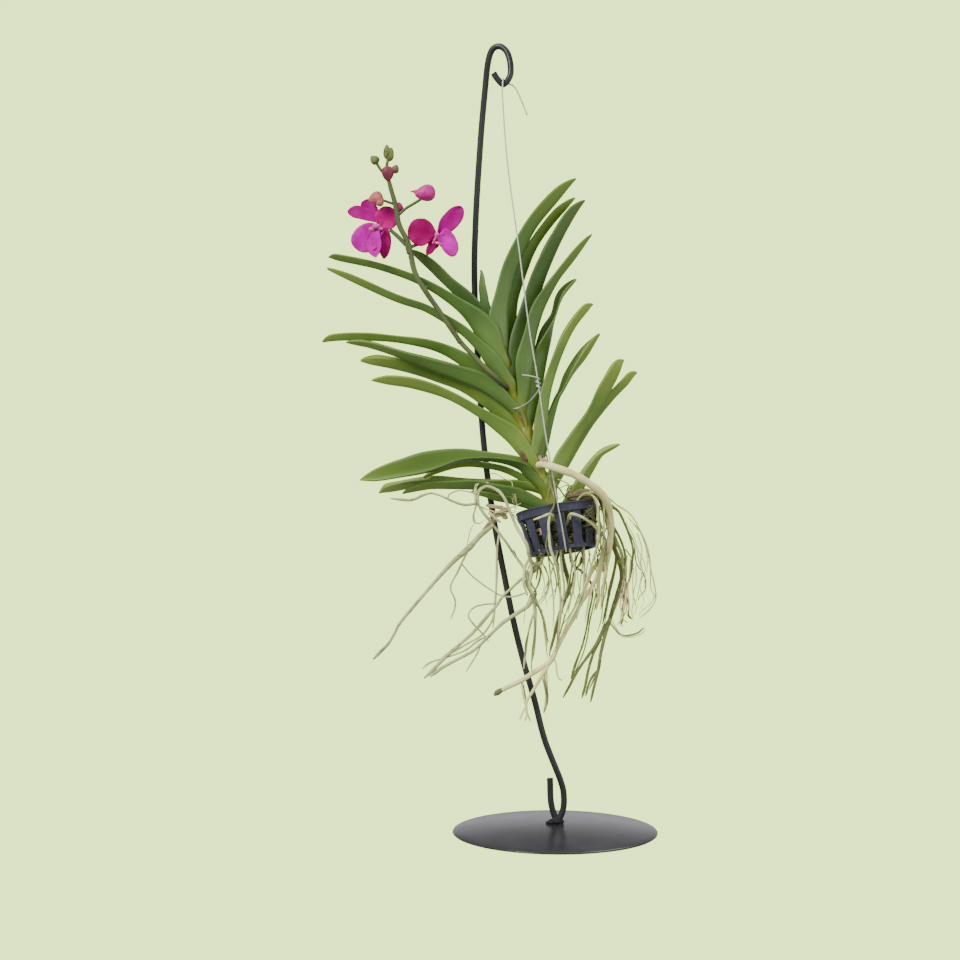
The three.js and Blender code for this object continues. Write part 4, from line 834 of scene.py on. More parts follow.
CREAM_TONES = ((0.72, 0.68, 0.3, 1), (0.95, 0.9, 0.44, 1), (0.44, 0.42, 0.17, 1))
TIP_TONES = ((0.1, 0.1, 0.05, 1), (0.2, 0.2, 0.1, 1), (0.4, 0.38, 0.2, 1))
TIP_ROUTE = [(-31.6, -6.8, 92.2), (-34, -7, 91), (-36.8, -7, 89.3), (-38.8, -7, 87.7)]
TIP_RADII = [1.1, 1.5, 1.9, 0.7]
ROOT_END = 0.45
THICK_ROOT = [
    [[[-10.4, -4, 231.6], [-10.6, -12, 233], [-8.4, -20.6, 233.2], [-4.4, -28, 232.2], [3, -30.2, 229.8],
      [11, -29.2, 226.6], [20, -26.5, 221.4], [28, -22, 215], [32.4, -16, 208], [34.4, -11, 199],
      [34.6, -8, 188], [33.8, -6, 178], [30.6, -5, 170], [26.4, -4.4, 162], [21, -4, 152.5], [16, -4, 145],
      [11.4, -4, 136], [5.4, -4, 125.5], [1, -4, 117], [-3, -4, 109], [-12, -5, 103], [-20.5, -6, 97.6],
      [-28, -6.5, 94], [-35, -7, 90.4], [-38.3, -7, 87.8]],
     [1.8, 2.2, 2.4, 2.4, 2.4, 1.5, 1.2, 1.4, 1.7, 1.7, 1.1]],
    [[[33.6, -9, 190], [32, -8.4, 178], [28.4, -8, 168], [27, -7, 158], [27.4, -6, 149], [25.4, -6, 142]],
     [1.5, 1.4, 1.1, 0.6]],
    [[[33, -4, 186], [30, -3, 175], [23.6, -3, 166.6], [20, -4, 157], [18, -5, 148], [14, -5, 140]],
     [1.4, 1.3, 0.9, 0.5]],
    [[[34.6, -9, 186], [33.4, -9, 174], [30.6, -9, 163], [29.4, -8, 153]], [1.2, 0.9, 0.5]],
    [[[-4, -4.5, 107], [-9.5, -6, 98.6], [-14, -6, 90.6], [-18, -5.5, 84], [-18.4, -5.5, 79],
      [-17.6, -5.5, 75.6], [-15.5, -5.5, 71]], [1.6, 1.1, 0.8, 0.6]],
    [[[-18.3, -5.5, 81], [-20.6, -5.5, 76.6], [-22.6, -5.5, 71.8]], [0.6, 0.5]],
    [[[-17.7, -5.5, 76.4], [-19.3, -5.5, 71]], [0.6, 0.5]],
    [[[-20.6, -6, 98], [-21, -6, 91.6], [-19.4, -5.6, 84], [-18.6, -5.5, 80.6]], [0.8, 0.6]],
    [[[-6, -4.5, 104.6], [-6, -5, 96], [-5.6, -5, 86], [-7.2, -5, 77.5]], [1.4, 1.2, 0.8]],
    [[[-1.5, -3.5, 112], [0.4, -4.5, 107.4], [1.6, -4.5, 99], [4.5, -4.5, 97]], [0.7, 0.5]],
]


def root_mesh(name, roots, rough, first=1.0, slim=1.0):
    """Roots as one mesh. Each narrows at its free end, and its thickness wanders a little.

    First is how thick the very start is, against the rest of the root. Slim scales every thickness."""
    dice = random.Random(len(roots) * 7 + len(name))
    routes = []
    for points, radii in roots:
        count = 2 * len(points)
        shares = [i / (count - 1) for i in range(count)]
        thick = [mix(radii, share) * dice.uniform(0.9, 1.12) * slim for share in shares]
        thick[-1] *= ROOT_END
        thick[0] *= first
        routes.append(([tuple(smooth_point(points, share)) for share in shares], thick))
    return tube_mesh(name, routes, sides=2, steps=4, rough=rough)


def root_skin(name, tones, start=0.6):
    """Dry velamen: a matt skin with cloudy changes, stains and a fine relief."""
    return clouded_material(name, tones, (70, 260), start, depth=0.5, Roughness=0.78,
                            Specular_IOR_Level=0.25)


cream_skin = root_skin("root_cream_skin", CREAM_TONES, 0.66)
place(root_mesh("thick_root_grown", THICK_ROOT, 0.12, first=0.55), "root_cream", [cream_skin], "thick_root")
tip_skin = root_skin("root_tip_skin", TIP_TONES)
place(tube_mesh("thick_root_tip", [(TIP_ROUTE, TIP_RADII)], rough=0.15), "root_cream", [tip_skin])

# The finer roots
# Bunches of thinner aerial roots come out of the basket's heart, over its rim and between its ribs, and hang
# in loops and forks below. Dry ones are silvery grey-green to cream and damp ones olive green.

LEFT_ROOTS = [
    [[[-9, -5, 189], [-8, -8.5, 178], [-9.5, -12, 171.6], [-14, -17, 171.4], [-17, -20, 176],
      [-18.2, -19.6, 182.5], [-21.4, -16.4, 188.5], [-24.6, -14, 194], [-28.5, -13, 203],
      [-32, -12.4, 211.6], [-35.5, -12, 216.2], [-39.5, -12, 218.6], [-44, -12, 219.6], [-48.4, -12, 216],
      [-48.8, -12, 209], [-45, -11, 202.4], [-40.4, -10, 196.6], [-35.4, -9, 190], [-30.6, -8, 183.6],
      [-26.4, -7, 177], [-22, -6, 171], [-18.6, -6, 165], [-17.2, -6, 158]],
      [1, 1.1, 1, 0.9, 0.9, 0.8, 1]],
    [[[-10.5, -1, 188], [-9.6, 0, 178], [-11.4, -2.6, 169.4], [-16, -5.4, 164], [-17.6, -6, 158],
      [-14.8, -6, 151.6], [-13, -6, 144], [-12.8, -5.4, 131], [-13.4, -4, 119], [-14.8, -1.5, 108]],
      [1.8, 1.8, 1.6, 1.2, 1, 0.9]],
    [[[-48.6, -12, 209], [-57, -12, 208], [-64, -12, 210], [-76, -12, 215], [-83, -12, 214.2],
      [-91, -11, 211], [-104, -10, 212]], [0.8, 0.7, 1]],
    [[[-68, -12, 211.6], [-66.6, -12.4, 214.8], [-60.6, -12.6, 217], [-54, -12.4, 216],
      [-48.4, -12, 214.6]], 0.5],
    [[[-47, -12, 219], [-50.6, -12.8, 214], [-50, -13.4, 207.4], [-52, -13, 201], [-51, -12.6, 196]],
      0.5],
    [[[-39, -9.6, 195.4], [-47.4, -9.5, 188.8], [-54.4, -9, 181], [-63.4, -9, 173.2], [-73, -9, 163],
      [-86, -9, 148], [-97.6, -9, 134], [-101.6, -9, 126.6], [-105.4, -9, 120.4], [-109.4, -9, 116.4],
      [-115, -9, 110.6]], [1.4, 1.9, 1.3, 1.1, 0.9, 0.9, 1.2]],
    [[[-54, -9.2, 181], [-58.6, -10, 172.4], [-62, -10, 165], [-65.4, -10, 159], [-66, -10, 154.6],
      [-63.2, -10, 147.6], [-64, -10, 141], [-66.4, -10, 136]], [0.7, 0.6, 0.5]],
    [[[-59.6, -9.8, 171.4], [-54, -9, 164.6], [-48, -8.4, 159.4], [-41, -7.4, 154.4], [-34, -6.4, 150.6],
      [-26, -6, 150], [-17, -6, 153]], 0.5],
    [[[-16.8, -6, 163.6], [-20.4, -6.4, 162], [-27, -6.6, 156], [-33, -6.6, 150.4], [-37, -6.6, 144.4],
      [-41, -6.6, 140], [-51, -6.4, 128.4], [-62, -6, 118.4], [-70, -6, 111.4], [-77, -6, 104],
      [-83, -6, 98.4]], [0.9, 0.9, 1, 1.3, 1.1]],
    [[[-36.4, -6.6, 145.6], [-44, -7.4, 145.2], [-51, -7.4, 143.4], [-55, -7.4, 138.4], [-52, -7, 133],
      [-46, -6.6, 126.6], [-42, -6.4, 121.6]], 0.55],
    [[[-12.6, -6, 152], [-17, -6.8, 144.4], [-25, -6.8, 139], [-32, -6.4, 134.4], [-37, -6.4, 130],
      [-43, -6.4, 124], [-51, -6.2, 116.4], [-58.6, -6, 112], [-71, -6, 105.4], [-79, -6, 99.4]],
      [1.4, 1.3, 1.2, 1, 0.9, 1.3]],
    [[[-38.4, -6.6, 142], [-40, -6.6, 134.6], [-46, -6.6, 126], [-55, -6.4, 120.6], [-67, -6, 113.4]],
      0.6],
    [[[-41, -6.4, 125.8], [-49, -6.2, 122], [-57, -6.2, 116], [-70, -6, 111.2], [-79, -6, 108.4],
      [-84, -6, 104.4]], 0.6],
    [[[-47, -6.2, 119.4], [-50, -6.4, 113], [-56.4, -6.4, 102.4]], 0.5],
    [[[-35.6, -9, 189], [-37, -8, 178], [-37, -7, 164], [-38, -6.6, 147], [-39.4, -6.6, 130]],
      [0.7, 0.8, 0.7]],
    [[[-14.4, -6, 153], [-10.6, -6, 144], [-7.2, -6, 135], [-5.6, -6.6, 125], [-5.6, -7, 115.6]],
      [0.8, 0.6]],
    [[[-13.2, -6, 140], [-16, -6, 132.4], [-18, -5.4, 121], [-19, -4, 112.6], [-20, -2.6, 103.6]],
      [0.6, 0.7]],
]
OLIVE_ROOTS = [
    [[[7, 7, 188], [5.6, 5.4, 177], [5.4, 4.6, 171], [7.4, 4.4, 163], [8.6, 4.2, 156], [7.4, 4, 149],
      [4.6, 4, 141.4], [2, 4, 134], [0, 4, 125], [-3.6, 3, 112]], [1.2, 1, 1, 1.2, 0.9]],
    [[[3.6, 7, 187], [2.6, 6.6, 177], [1.2, 3.6, 171], [2.2, 3, 163], [3.2, 3.4, 154], [4.6, 4, 142]],
      [1, 0.8]],
    [[[13, 7, 187], [17.4, 1.2, 178], [16.8, 1.6, 171.6], [12.8, 4.6, 165.6], [11.8, 5, 160],
      [10, 5, 154], [8, 4.4, 148]], [1.1, 0.8]],
    [[[10, 10, 187], [11, 10.4, 171], [17.6, 10, 165], [23.4, 9, 157.6], [24.4, 8, 150], [22.2, 7.6, 139],
      [20.6, 7.4, 129], [17.6, 7, 117], [13.8, 6.8, 107], [10.6, 6.4, 96.6]], [1.1, 0.8, 0.7, 1]],
    [[[9, 9, 197], [10, 8, 208], [14, 6, 216.4], [20, 4, 216.2], [27, 2.6, 213], [33, 1.6, 209.6],
      [37, 1, 206.4], [40.6, 1, 203.4], [44, 2, 197], [48, 3, 187], [50, 3, 178.6], [49, 3, 170],
      [47.6, 3, 161], [44.4, 4, 149]], [1.4, 2, 1.6, 1, 0.9, 0.8, 0.7]],
    [[[7, 8, 198], [8, 6, 210], [10, 3.6, 218.4], [16, 1, 217.6], [23, -1, 214.8], [28, -1.4, 212.4]],
      [1.2, 2, 1.4]],
    [[[30, 2.4, 211.4], [33.4, 4, 206], [35.4, 4.6, 200], [37.4, 4.6, 194], [40, 4.6, 189.6],
      [42.4, 4.6, 184.6], [44.4, 4.6, 178.6], [45.2, 4.6, 172], [45.2, 4.8, 162], [44.4, 5, 149],
      [43.2, 5, 139], [42.6, 5, 130.6]], [1.2, 1, 0.9, 0.9, 1.1]],
    [[[28, 3, 212.4], [31.4, 7, 205], [34.6, 8.4, 194], [37, 8.4, 184], [41, 8, 173], [43, 7.4, 163],
      [41.4, 7, 154], [38.6, 6.6, 145.6], [35.8, 6.2, 136], [32.4, 6, 125], [29.6, 6, 113],
      [28.2, 6, 103.6], [25.4, 6, 92], [23, 6, 81.6]], [1.3, 1.6, 1.7, 1.5, 1.2, 1]],
    [[[35.6, 6.2, 134.6], [31.4, 6.2, 128], [27, 6.4, 119], [21, 6.4, 110.6], [15.6, 6.6, 103],
      [10.4, 6.6, 93.4], [5.4, 6.4, 84.4]], [1.5, 1.3, 1, 0.9]],
    [[[29.6, 6.4, 122.6], [24.6, 6.8, 112], [21.4, 6.8, 101], [19.8, 6.8, 92.6], [17.4, 6.6, 84]],
      [1.1, 0.9]],
    [[[28, 6, 102], [24, 6.4, 97.6], [21.4, 6.6, 91.6], [20, 6.6, 85.6]], [1, 0.8]],
    [[[37.2, 4.6, 194.6], [38.6, 3.4, 184], [38.8, 3, 173], [37, 3, 163], [34.6, 3, 154],
      [33, 3.4, 143.6], [30.6, 5, 131.6]], [0.9, 0.7]],
    [[[35, 6, 133], [38.4, 6, 128.6], [41.6, 5.6, 125.2], [46, 5.6, 124.2], [53, 5.6, 126],
      [57, 5.6, 129.4]], 0.6],
    [[[44.8, 5, 153], [47.4, 5.6, 143], [47, 5.8, 137.6], [49.6, 5.8, 134.6]], 0.7],
]
PALE_ROOTS = [
    [[[3, -14, 193], [-1.6, -21, 200.4], [-4.6, -27, 202.4], [-9.4, -27, 200.8], [-14.6, -25.6, 198.8]],
      [1.1, 1.2, 0.9]],
    [[[-4.2, -26.6, 202.6], [-5.2, -28, 196], [-4.8, -28.4, 188], [-4, -28.8, 181], [-1.6, -27.6, 174],
      [1.6, -22, 164], [2.6, -17, 152], [2.4, -13, 138], [1.4, -10.6, 124]], [1, 1, 0.9, 0.8]],
    [[[6, -14, 193], [7.6, -21, 200.6], [9.6, -27.6, 202.6], [15.4, -26.6, 200.6], [20.8, -23.4, 197],
      [25.6, -19, 192.4], [27.4, -16, 185]], [1.1, 1.2, 0.9]],
    [[[9, -10, 198], [13, -13, 210], [19, -20, 215.4], [24.6, -23.4, 211], [26, -22.6, 200],
      [26.4, -19.6, 189], [24.4, -16, 178], [21, -13, 166], [16, -12, 151], [9, -11, 138],
      [2.4, -10.4, 122]], [1.1, 0.9, 0.9, 0.8]],
    [[[10, -8, 199], [15, -9.4, 211.6], [23, -13.6, 216], [29.2, -16, 210.6], [30, -15.4, 200],
      [30, -14, 189], [28.4, -12, 177], [25.4, -11, 163], [21.4, -10, 150], [18.4, -9.6, 134]],
      [1.1, 0.9, 0.8]],
    [[[24.2, -14.4, 216], [29.6, -9, 215], [34.4, -5, 211.8], [39.6, -4, 207.4], [48, -4, 201.4],
      [54.4, -4, 190], [58, -4, 181], [60.4, -4, 167], [62.4, -4, 159], [63.6, -4, 149], [60, -4, 142],
      [53, -4, 136]], [0.7, 0.5]],
    [[[28.4, -12, 178], [31.4, -11, 171], [30.4, -10, 160], [29.2, -10, 149], [28.4, -10, 142]],
      [0.8, 0.7]],
    [[[3.6, -12, 185], [3, -12, 177], [4, -12, 167], [5.4, -11.6, 155], [3.4, -11, 141], [2, -10.6, 128]],
      [1, 0.9]],
    [[[8.4, -12, 185], [9.4, -13, 177], [12, -12.4, 165], [10, -11.8, 151], [6, -11.2, 139]], [1, 0.8]],
    [[[11, -10.4, 189.6], [16.6, -8.2, 185.6], [18, -8.2, 178], [18, -10, 166], [16.6, -10.4, 150],
      [13, -10, 136]], [1, 0.8]],
    [[[-0.6, -13, 187], [0.6, -17, 178.4], [-2.6, -15, 167], [-5, -12.6, 154], [-9.6, -12, 145.6]],
      [0.8, 0.6]],
]
ROOT_BUNCHES = [
    ("left_roots", "root_grey", LEFT_ROOTS, ((-12, -1.5, 192), (7, 8, 9)), 1.0,
     ((0.34, 0.36, 0.16, 1), (0.64, 0.64, 0.34, 1), (0.16, 0.14, 0.07, 1))),
    ("olive_roots", "root_olive", OLIVE_ROOTS, ((9, 9, 193), (10, 6, 9)), 0.9,
     ((0.13, 0.145, 0.055, 1), (0.26, 0.27, 0.11, 1), (0.46, 0.45, 0.22, 1))),
    ("pale_roots", "root_grey", PALE_ROOTS, ((5, -12.6, 191), (10.5, 5.4, 8.5)), 0.78,
     ((0.46, 0.49, 0.2, 1), (0.78, 0.76, 0.4, 1), (0.24, 0.26, 0.1, 1))),
]
# Nearly black roots for the basket's heart, its plug and its mats. They carry the roots' own dark colour and
# also painted shade, standing in for the shade inside the basket and between its ribs.
HEART_TONES_AND_PAINTED_SHADE = ((0.05, 0.055, 0.025, 1), (0.15, 0.15, 0.07, 1), (0.4, 0.36, 0.2, 1))
HEART_ROOTS = 40
WINDING_STEPS = 7


def wound_roots(centre, radii, count, dice):
    """Thin roots wound loosely over an egg-shaped space, as routes in millimetres with their radii."""
    routes = []
    for _ in range(count):
        start, height = dice.uniform(0, math.tau), dice.uniform(-0.9, 0.9)
        spin, climb = dice.choice((-0.7, -0.4, 0.4, 0.7)), dice.uniform(-0.3, 0.3)
        route = []
        for step in range(WINDING_STEPS):
            level = min(max(height + climb * step, -0.95), 0.95)
            girth = math.sqrt(1 - level * level) * dice.uniform(0.75, 1.05)
            angle = start + spin * step
            ball = Vector((girth * math.cos(angle), girth * math.sin(angle), level))
            route.append(tuple(Vector(centre) + ball * Vector(radii)))
        routes.append((route, [0.5, dice.uniform(0.6, 1.0), 0.35]))
    return routes


bunch_skins = {}
for bunch_name, bunch_slot, bunch_roots, _, bunch_slim, bunch_tones in ROOT_BUNCHES:
    bunch_skins[bunch_name] = root_skin(bunch_name + "_skin", bunch_tones, 0.56)
    place(root_mesh(bunch_name + "_grown", bunch_roots, 0.1, slim=bunch_slim), bunch_slot,
          [bunch_skins[bunch_name]], bunch_name)

heart_and_painted_shade_skin = root_skin("root_heart_skin", HEART_TONES_AND_PAINTED_SHADE)
for bunch_name, bunch_slot, _, (heart_place, heart_radii), _, _ in ROOT_BUNCHES:
    winder = random.Random(len(bunch_name) * 31)
    heart_routes = wound_roots(heart_place, heart_radii, HEART_ROOTS, winder)
    place(tube_mesh(bunch_name + "_heart", heart_routes, sides=1, steps=4), bunch_slot, [heart_and_painted_shade_skin],
          bunch_name)

# The rim tangle and the root curtain
# On the right, old dark roots are matted over the rim. From there and from the basket's floor a loose curtain
# of thin roots hangs down, winds and forks, some olive, some dry and nearly white, some with a pink flush.

MOSS_TONES = ((0.13, 0.12, 0.05, 1), (0.27, 0.24, 0.12, 1), (0.1, 0.06, 0.03, 1))
PINK_TONES = ((0.62, 0.53, 0.28, 1), (0.88, 0.77, 0.45, 1), (0.38, 0.28, 0.15, 1))
# A dark lump that fills the basket's middle: roots, with painted shade for the inside of the basket.
ROOT_PLUG = [((3.4, 1.4, 189), (19, 16, 10.5), (0.1, 0.1, 0))]
moss_skin = root_skin("root_moss_skin", MOSS_TONES)
TANGLES = [
    ("rim_tangle", heart_and_painted_shade_skin, (19, -10, 200), (6.5, 8, 11), 60),
    ("rim_mat", moss_skin, (17, -7, 213.4), (10.5, 8, 4.4), 52),
    ("floor_mat", heart_and_painted_shade_skin, (3.4, 1, 187), (19.4, 15, 7.6), 110),
]
OLIVE_STRANDS = [
    (-8, 0.3, [(-27, 215), (-25, 211), (-26.6, 208), (-24, 205)]),
    (-7, 0.3, [(-25.6, 214), (-27.4, 210), (-24.6, 208), (-25.8, 204)]),
    (-8, 0.3, [(-28, 212), (-25.4, 210.6), (-23.6, 207.6)]),
    (-18, 0.55, [(-6.5, 239.9), (-5, 235.4), (-3.4, 229.3), (-1.9, 224), (-0.4, 218.6), (1.1, 211)]),
    (-14, 0.8, [(-5, 226.2), (-3.4, 221.7), (-4.2, 215.6), (-5, 211)]),
    (-9, 0.45, [(-0.4, 221.7), (2.7, 217.1), (7.2, 212.5), (13.3, 211)]),
    (-14, 0.6, [(22, 214), (26, 207), (27, 198), (25.4, 188), (27, 178)]),
    (-15, 0.5, [(24, 210), (29, 203), (30, 193), (28, 184), (30, 174)]),
    (-12, 0.5, [(20, 206), (24, 200), (28.6, 194), (27, 184), (24, 176)]),
    (-13, 0.45, [(28, 208), (27, 200), (30.6, 190), (31.6, 181), (30, 172)]),
    (-16, 0.5, [(19, 200), (24, 196), (29, 190), (30, 182), (26, 175)]),
    (-14, 0.4, [(30, 204), (31.6, 196), (29.6, 186), (32, 178), (31, 168)]),
    (-27, 0.65, [(-4.3, 226.8), (-3.6, 220), (-1.2, 211.9), (-2.4, 207), (-4.3, 202), (-5.5, 190.2),
                 (-6.7, 182.2), (-4.3, 176.7)]),
    (-12, 0.45, [(-4.4, 175.5), (-1.3, 169.1), (0.6, 158.9), (-1.3, 148.8)]),
    (-9, 0.45, [(13.8, 177.2), (10.8, 169.1), (8.8, 158.9), (9.8, 148.8), (8, 140)]),
    (-5, 0.4, [(26, 179.3), (27.1, 169), (25, 158.9), (26, 148.8), (24.4, 139)]),
    (-9, 0.6, [(-11.6, 173.2), (-9.5, 165), (-11.6, 156.9), (-15.6, 149.8)]),
    (-6, 0.7, [(38.2, 185.4), (41.3, 177.2), (43.3, 169.1), (42.8, 158.9), (40.3, 148.8), (37, 139)]),
    (-4, 0.4, [(32, 176), (31, 166), (32.4, 156), (30, 146), (29.4, 136), (27, 127)]),
    (-6, 0.4, [(-26.5, 179), (-22, 171), (-19, 166), (-18, 160)]),
    (-9, 0.85, [(-12, 177), (-11, 168), (-12, 161)]),
    (-4, 0.4, [(-10, 174), (-6, 166), (-4, 161), (-6, 153), (-10, 147), (-13, 142)]),
    (-7, 0.55, [(-18, 166), (-15, 158), (-12, 153), (-13, 147), (-13, 138), (-13, 128), (-14, 118),
                (-15, 108), (-15, 103)]),
    (-2, 0.5, [(-18, 166), (-20, 162), (-24, 158), (-29, 153)]),
    (-5, 0.4, [(-13, 140), (-16, 131), (-18.5, 120), (-19, 112)]),
    (-8, 0.4, [(-13, 146), (-11, 143), (-8, 136), (-6, 128), (-4, 121)]),
    (-10, 0.6, [(-2, 180), (1.5, 171), (2, 163), (2.5, 155), (3, 148), (3.5, 141)]),
    (-5, 0.7, [(4, 181), (6, 171), (8, 163), (9, 157), (7.5, 150), (5, 143), (4.6, 139)]),
    (-1, 0.5, [(19, 181), (14, 176), (12.5, 168), (11, 161), (9.5, 156)]),
    (-6, 0.75, [(3, 141), (0, 130), (-1, 125), (-3, 118), (-4, 112)]),
    (-8, 0.45, [(3.5, 136), (1.6, 130), (1, 124), (0, 118)]),
    (-3, 0.45, [(37, 190), (38, 180), (38.5, 172), (37, 162), (35, 152), (33, 142), (31, 134), (30, 130)]),
    (-8, 0.95, [(36, 192), (38.6, 184), (42, 177), (43, 168), (44, 160)]),
    (-5, 0.5, [(44, 180), (49, 173), (48, 165), (47, 159)]),
    (-2, 0.4, [(46, 192), (50, 184), (51, 176), (52, 170), (55, 165), (57.5, 160), (57, 154), (54, 150),
               (53, 147)]),
    (-7, 0.45, [(25, 151), (23, 142), (22, 134), (20, 124), (17.5, 115), (15, 109), (12, 101), (9, 95)]),
    (-6, 0.5, [(28, 103), (25, 99), (23, 95), (21, 91.6)]),
    (-9, 0.95, [(-8, 99), (-6, 93), (-5, 88), (-6, 82), (-7.5, 77)]),
    (-4, 0.5, [(-20, 94), (-19, 86), (-18, 79), (-17, 73)]),
]
PALE_STRANDS = [
    (-8, 0.4, [(1.1, 224), (5.7, 222.4), (8.8, 219.4), (5.7, 214.1), (1.9, 211.8)]),
    (-6, 0.35, [(2.7, 218.6), (7.2, 220.2), (10.3, 218.6), (7.2, 215.6)]),
    (-10, 0.4, [(0.1, 173.2), (2.2, 167.1), (0.6, 156.9), (-4.4, 148.8)]),
    (-7, 0.35, [(15.9, 175.2), (13.8, 165), (14.9, 154.9), (15.9, 148.8), (14, 141)]),
    (-4, 0.4, [(22, 177.3), (19.9, 169.1), (18.9, 158.9), (17.9, 148.8)]),
    (-8, 0.35, [(30.1, 179.3), (31.1, 169.1), (30.1, 158.9), (28.1, 148.8), (26, 141)]),
    (-8, 0.95, [(-15.6, 175.2), (-18.7, 169.1), (-19.7, 158.9), (-17.7, 150.8)]),
    (-6, 0.35, [(-6.5, 169.1), (-4.4, 161), (-6.5, 152.9), (-5, 145)]),
    (-5, 0.35, [(51.4, 182.4), (52.5, 173.2), (54.5, 165), (53.5, 155.9), (55.5, 148.8), (54, 142)]),
    (-9, 0.4, [(-50.2, 221.2), (-51.1, 217.4), (-50.2, 207.8), (-51.4, 202.1), (-50.8, 197), (-47.6, 196.4),
               (-45.1, 198.3)]),
    (-8, 0.7, [(-50.6, 214), (-50.2, 219), (-48.5, 221.6), (-45, 222), (-42.5, 221.8)]),
    (-7, 0.35, [(-55.9, 181.2), (-54, 192), (-51.4, 195.8)]),
    (-7, 0.32, [(-41.3, 228.1), (-37.5, 227.5), (-32.4, 224.3), (-27.3, 222.4), (-26.7, 218.6), (-25.4, 214),
                (-24.1, 207.8)]),
    (-12, 1.0, [(-41.4, 203), (-40, 201.5), (-37.4, 199), (-34.9, 197)]),
    (-8, 1.0, [(-17, 178), (-15, 166), (-16, 158), (-14, 151)]),
    (-6, 0.5, [(-5, 178), (-4, 170), (-3, 160), (-1.5, 150), (-1, 140), (-2, 131)]),
    (-3, 0.4, [(17, 180), (18, 172), (16.5, 164), (16, 155), (15, 147)]),
    (-7, 0.4, [(21, 180), (22, 170), (24.4, 165)]),
    (-2, 0.45, [(29, 182), (27, 173), (24, 165)]),
    (-9, 0.4, [(34, 182), (33, 168), (31, 158), (30, 150), (28.5, 142)]),
    (0, 0.35, [(50, 196), (56, 187), (60, 176), (61, 165), (61, 155), (63, 150), (61, 146), (57, 142),
               (53, 138)]),
    (-6, 0.45, [(36, 135), (40, 128), (44, 124.5), (50, 125), (55, 127.4), (57, 130)]),
    (-4, 0.35, [(52, 190), (55, 180), (54, 172), (56, 166)]),
    (-6, 0.3, [(46, 200), (53, 192), (57, 182), (58, 170), (56, 160), (57.4, 150)]),
    (-2, 0.3, [(44, 198), (50, 188), (53, 178), (57, 168), (54, 158), (52, 150), (50, 144)]),
    (-7, 0.6, [(6, 139), (4, 131), (2, 124), (0, 115)]),
    (-5, 0.4, [(-9, 142), (-7, 130), (-6, 120), (-5, 111)]),
    (-4, 0.45, [(15, 152), (12, 143), (8, 137), (4.6, 132)]),
    (-8, 0.35, [(12, 180), (13, 168), (11, 158), (12, 148)]),
    (-1, 0.4, [(26, 182), (25, 170), (27, 160), (25, 149)]),
    (-5, 0.35, [(31, 180), (32, 166), (29, 155), (29.6, 146)]),
    (-10, 0.35, [(9, 181), (10, 170), (8, 160), (6, 151)]),
    (-9, 0.4, [(-8, 180), (-9, 168), (-7, 158), (-9, 148)]),
    (-6, 0.45, [(-15, 174), (-18, 162), (-16, 152), (-19, 143), (-20, 133)]),
    (-9, 0.5, [(-52, 209), (-43, 205), (-34, 203), (-24, 203.6)]),
    (-10, 0.4, [(-39, 203), (-34, 203.6), (-28, 206), (-22, 209)]),
    (-7, 0.4, [(-42, 199), (-37, 203), (-30, 204), (-25, 200), (-22, 194)]),
]
PINK_STRANDS = [
    (-5, 0.5, [(45.5, 176), (44.6, 166), (45.4, 156), (44, 147), (43, 139)]),
    (-6, 0.45, [(47.6, 174), (47, 164), (46, 154), (47, 146), (45, 138)]),
    (-4, 0.6, [(43, 160), (42.6, 150), (43.4, 142), (41, 134), (43, 131)]),
    (-7, 0.4, [(49, 168), (48.4, 158), (49.4, 148), (48, 140), (49.6, 135)]),
    (-5, 0.5, [(41.6, 152), (41, 144), (42.4, 137), (39.6, 132)]),
    (-3, 0.4, [(46.6, 158), (44.4, 150), (45.4, 142), (43.4, 136), (46, 133)]),
    (-6, 0.45, [(44.4, 168), (43.4, 159), (44.6, 150), (42.6, 141)]),
    (-4, 0.35, [(50.4, 170), (51, 160), (49.6, 151), (51.4, 143), (50, 138)]),
    (-6, 0.4, [(24, 160), (26, 152), (27.6, 147)]),
]


def strand_mesh(name, strands):
    """Thin roots that hang side by side, each with its depth, its thickness and its route from the front."""
    dice = random.Random(len(strands))
    routes = []
    for depth, thick, seen in strands:
        route = [(x + dice.uniform(-0.4, 0.4), depth + dice.uniform(-1.6, 1.6), z) for x, z in seen]
        routes.append((route, [thick, thick * dice.uniform(0.95, 1.25), thick, thick * 0.55]))
    return tube_mesh(name, routes, sides=1, rough=0.12)


place(lump_mesh("root_plug", ROOT_PLUG, rough=1.6), "root_olive", [heart_and_painted_shade_skin])
for tangle_name, tangle_skin, tangle_place, tangle_size, tangle_count in TANGLES:
    tangle_routes = wound_roots(tangle_place, tangle_size, tangle_count, random.Random(tangle_count))
    place(tube_mesh(tangle_name, tangle_routes, sides=1, steps=4), "root_olive", [tangle_skin])
pink_skin = root_skin("root_pink_skin", PINK_TONES)
place(strand_mesh("olive_strands", OLIVE_STRANDS), "root_olive", [bunch_skins["olive_roots"]])
place(strand_mesh("pale_strands", PALE_STRANDS), "root_grey", [bunch_skins["pale_roots"]])
place(strand_mesh("pink_strands", PINK_STRANDS), "root_grey", [pink_skin])

# The husks
# Crumbs of dry bark and old husk, beige to brown, that the young plant was raised in. They stick behind the
# basket's openings and in its rim, and flat scraps hang in the roots and where the thick one starts.

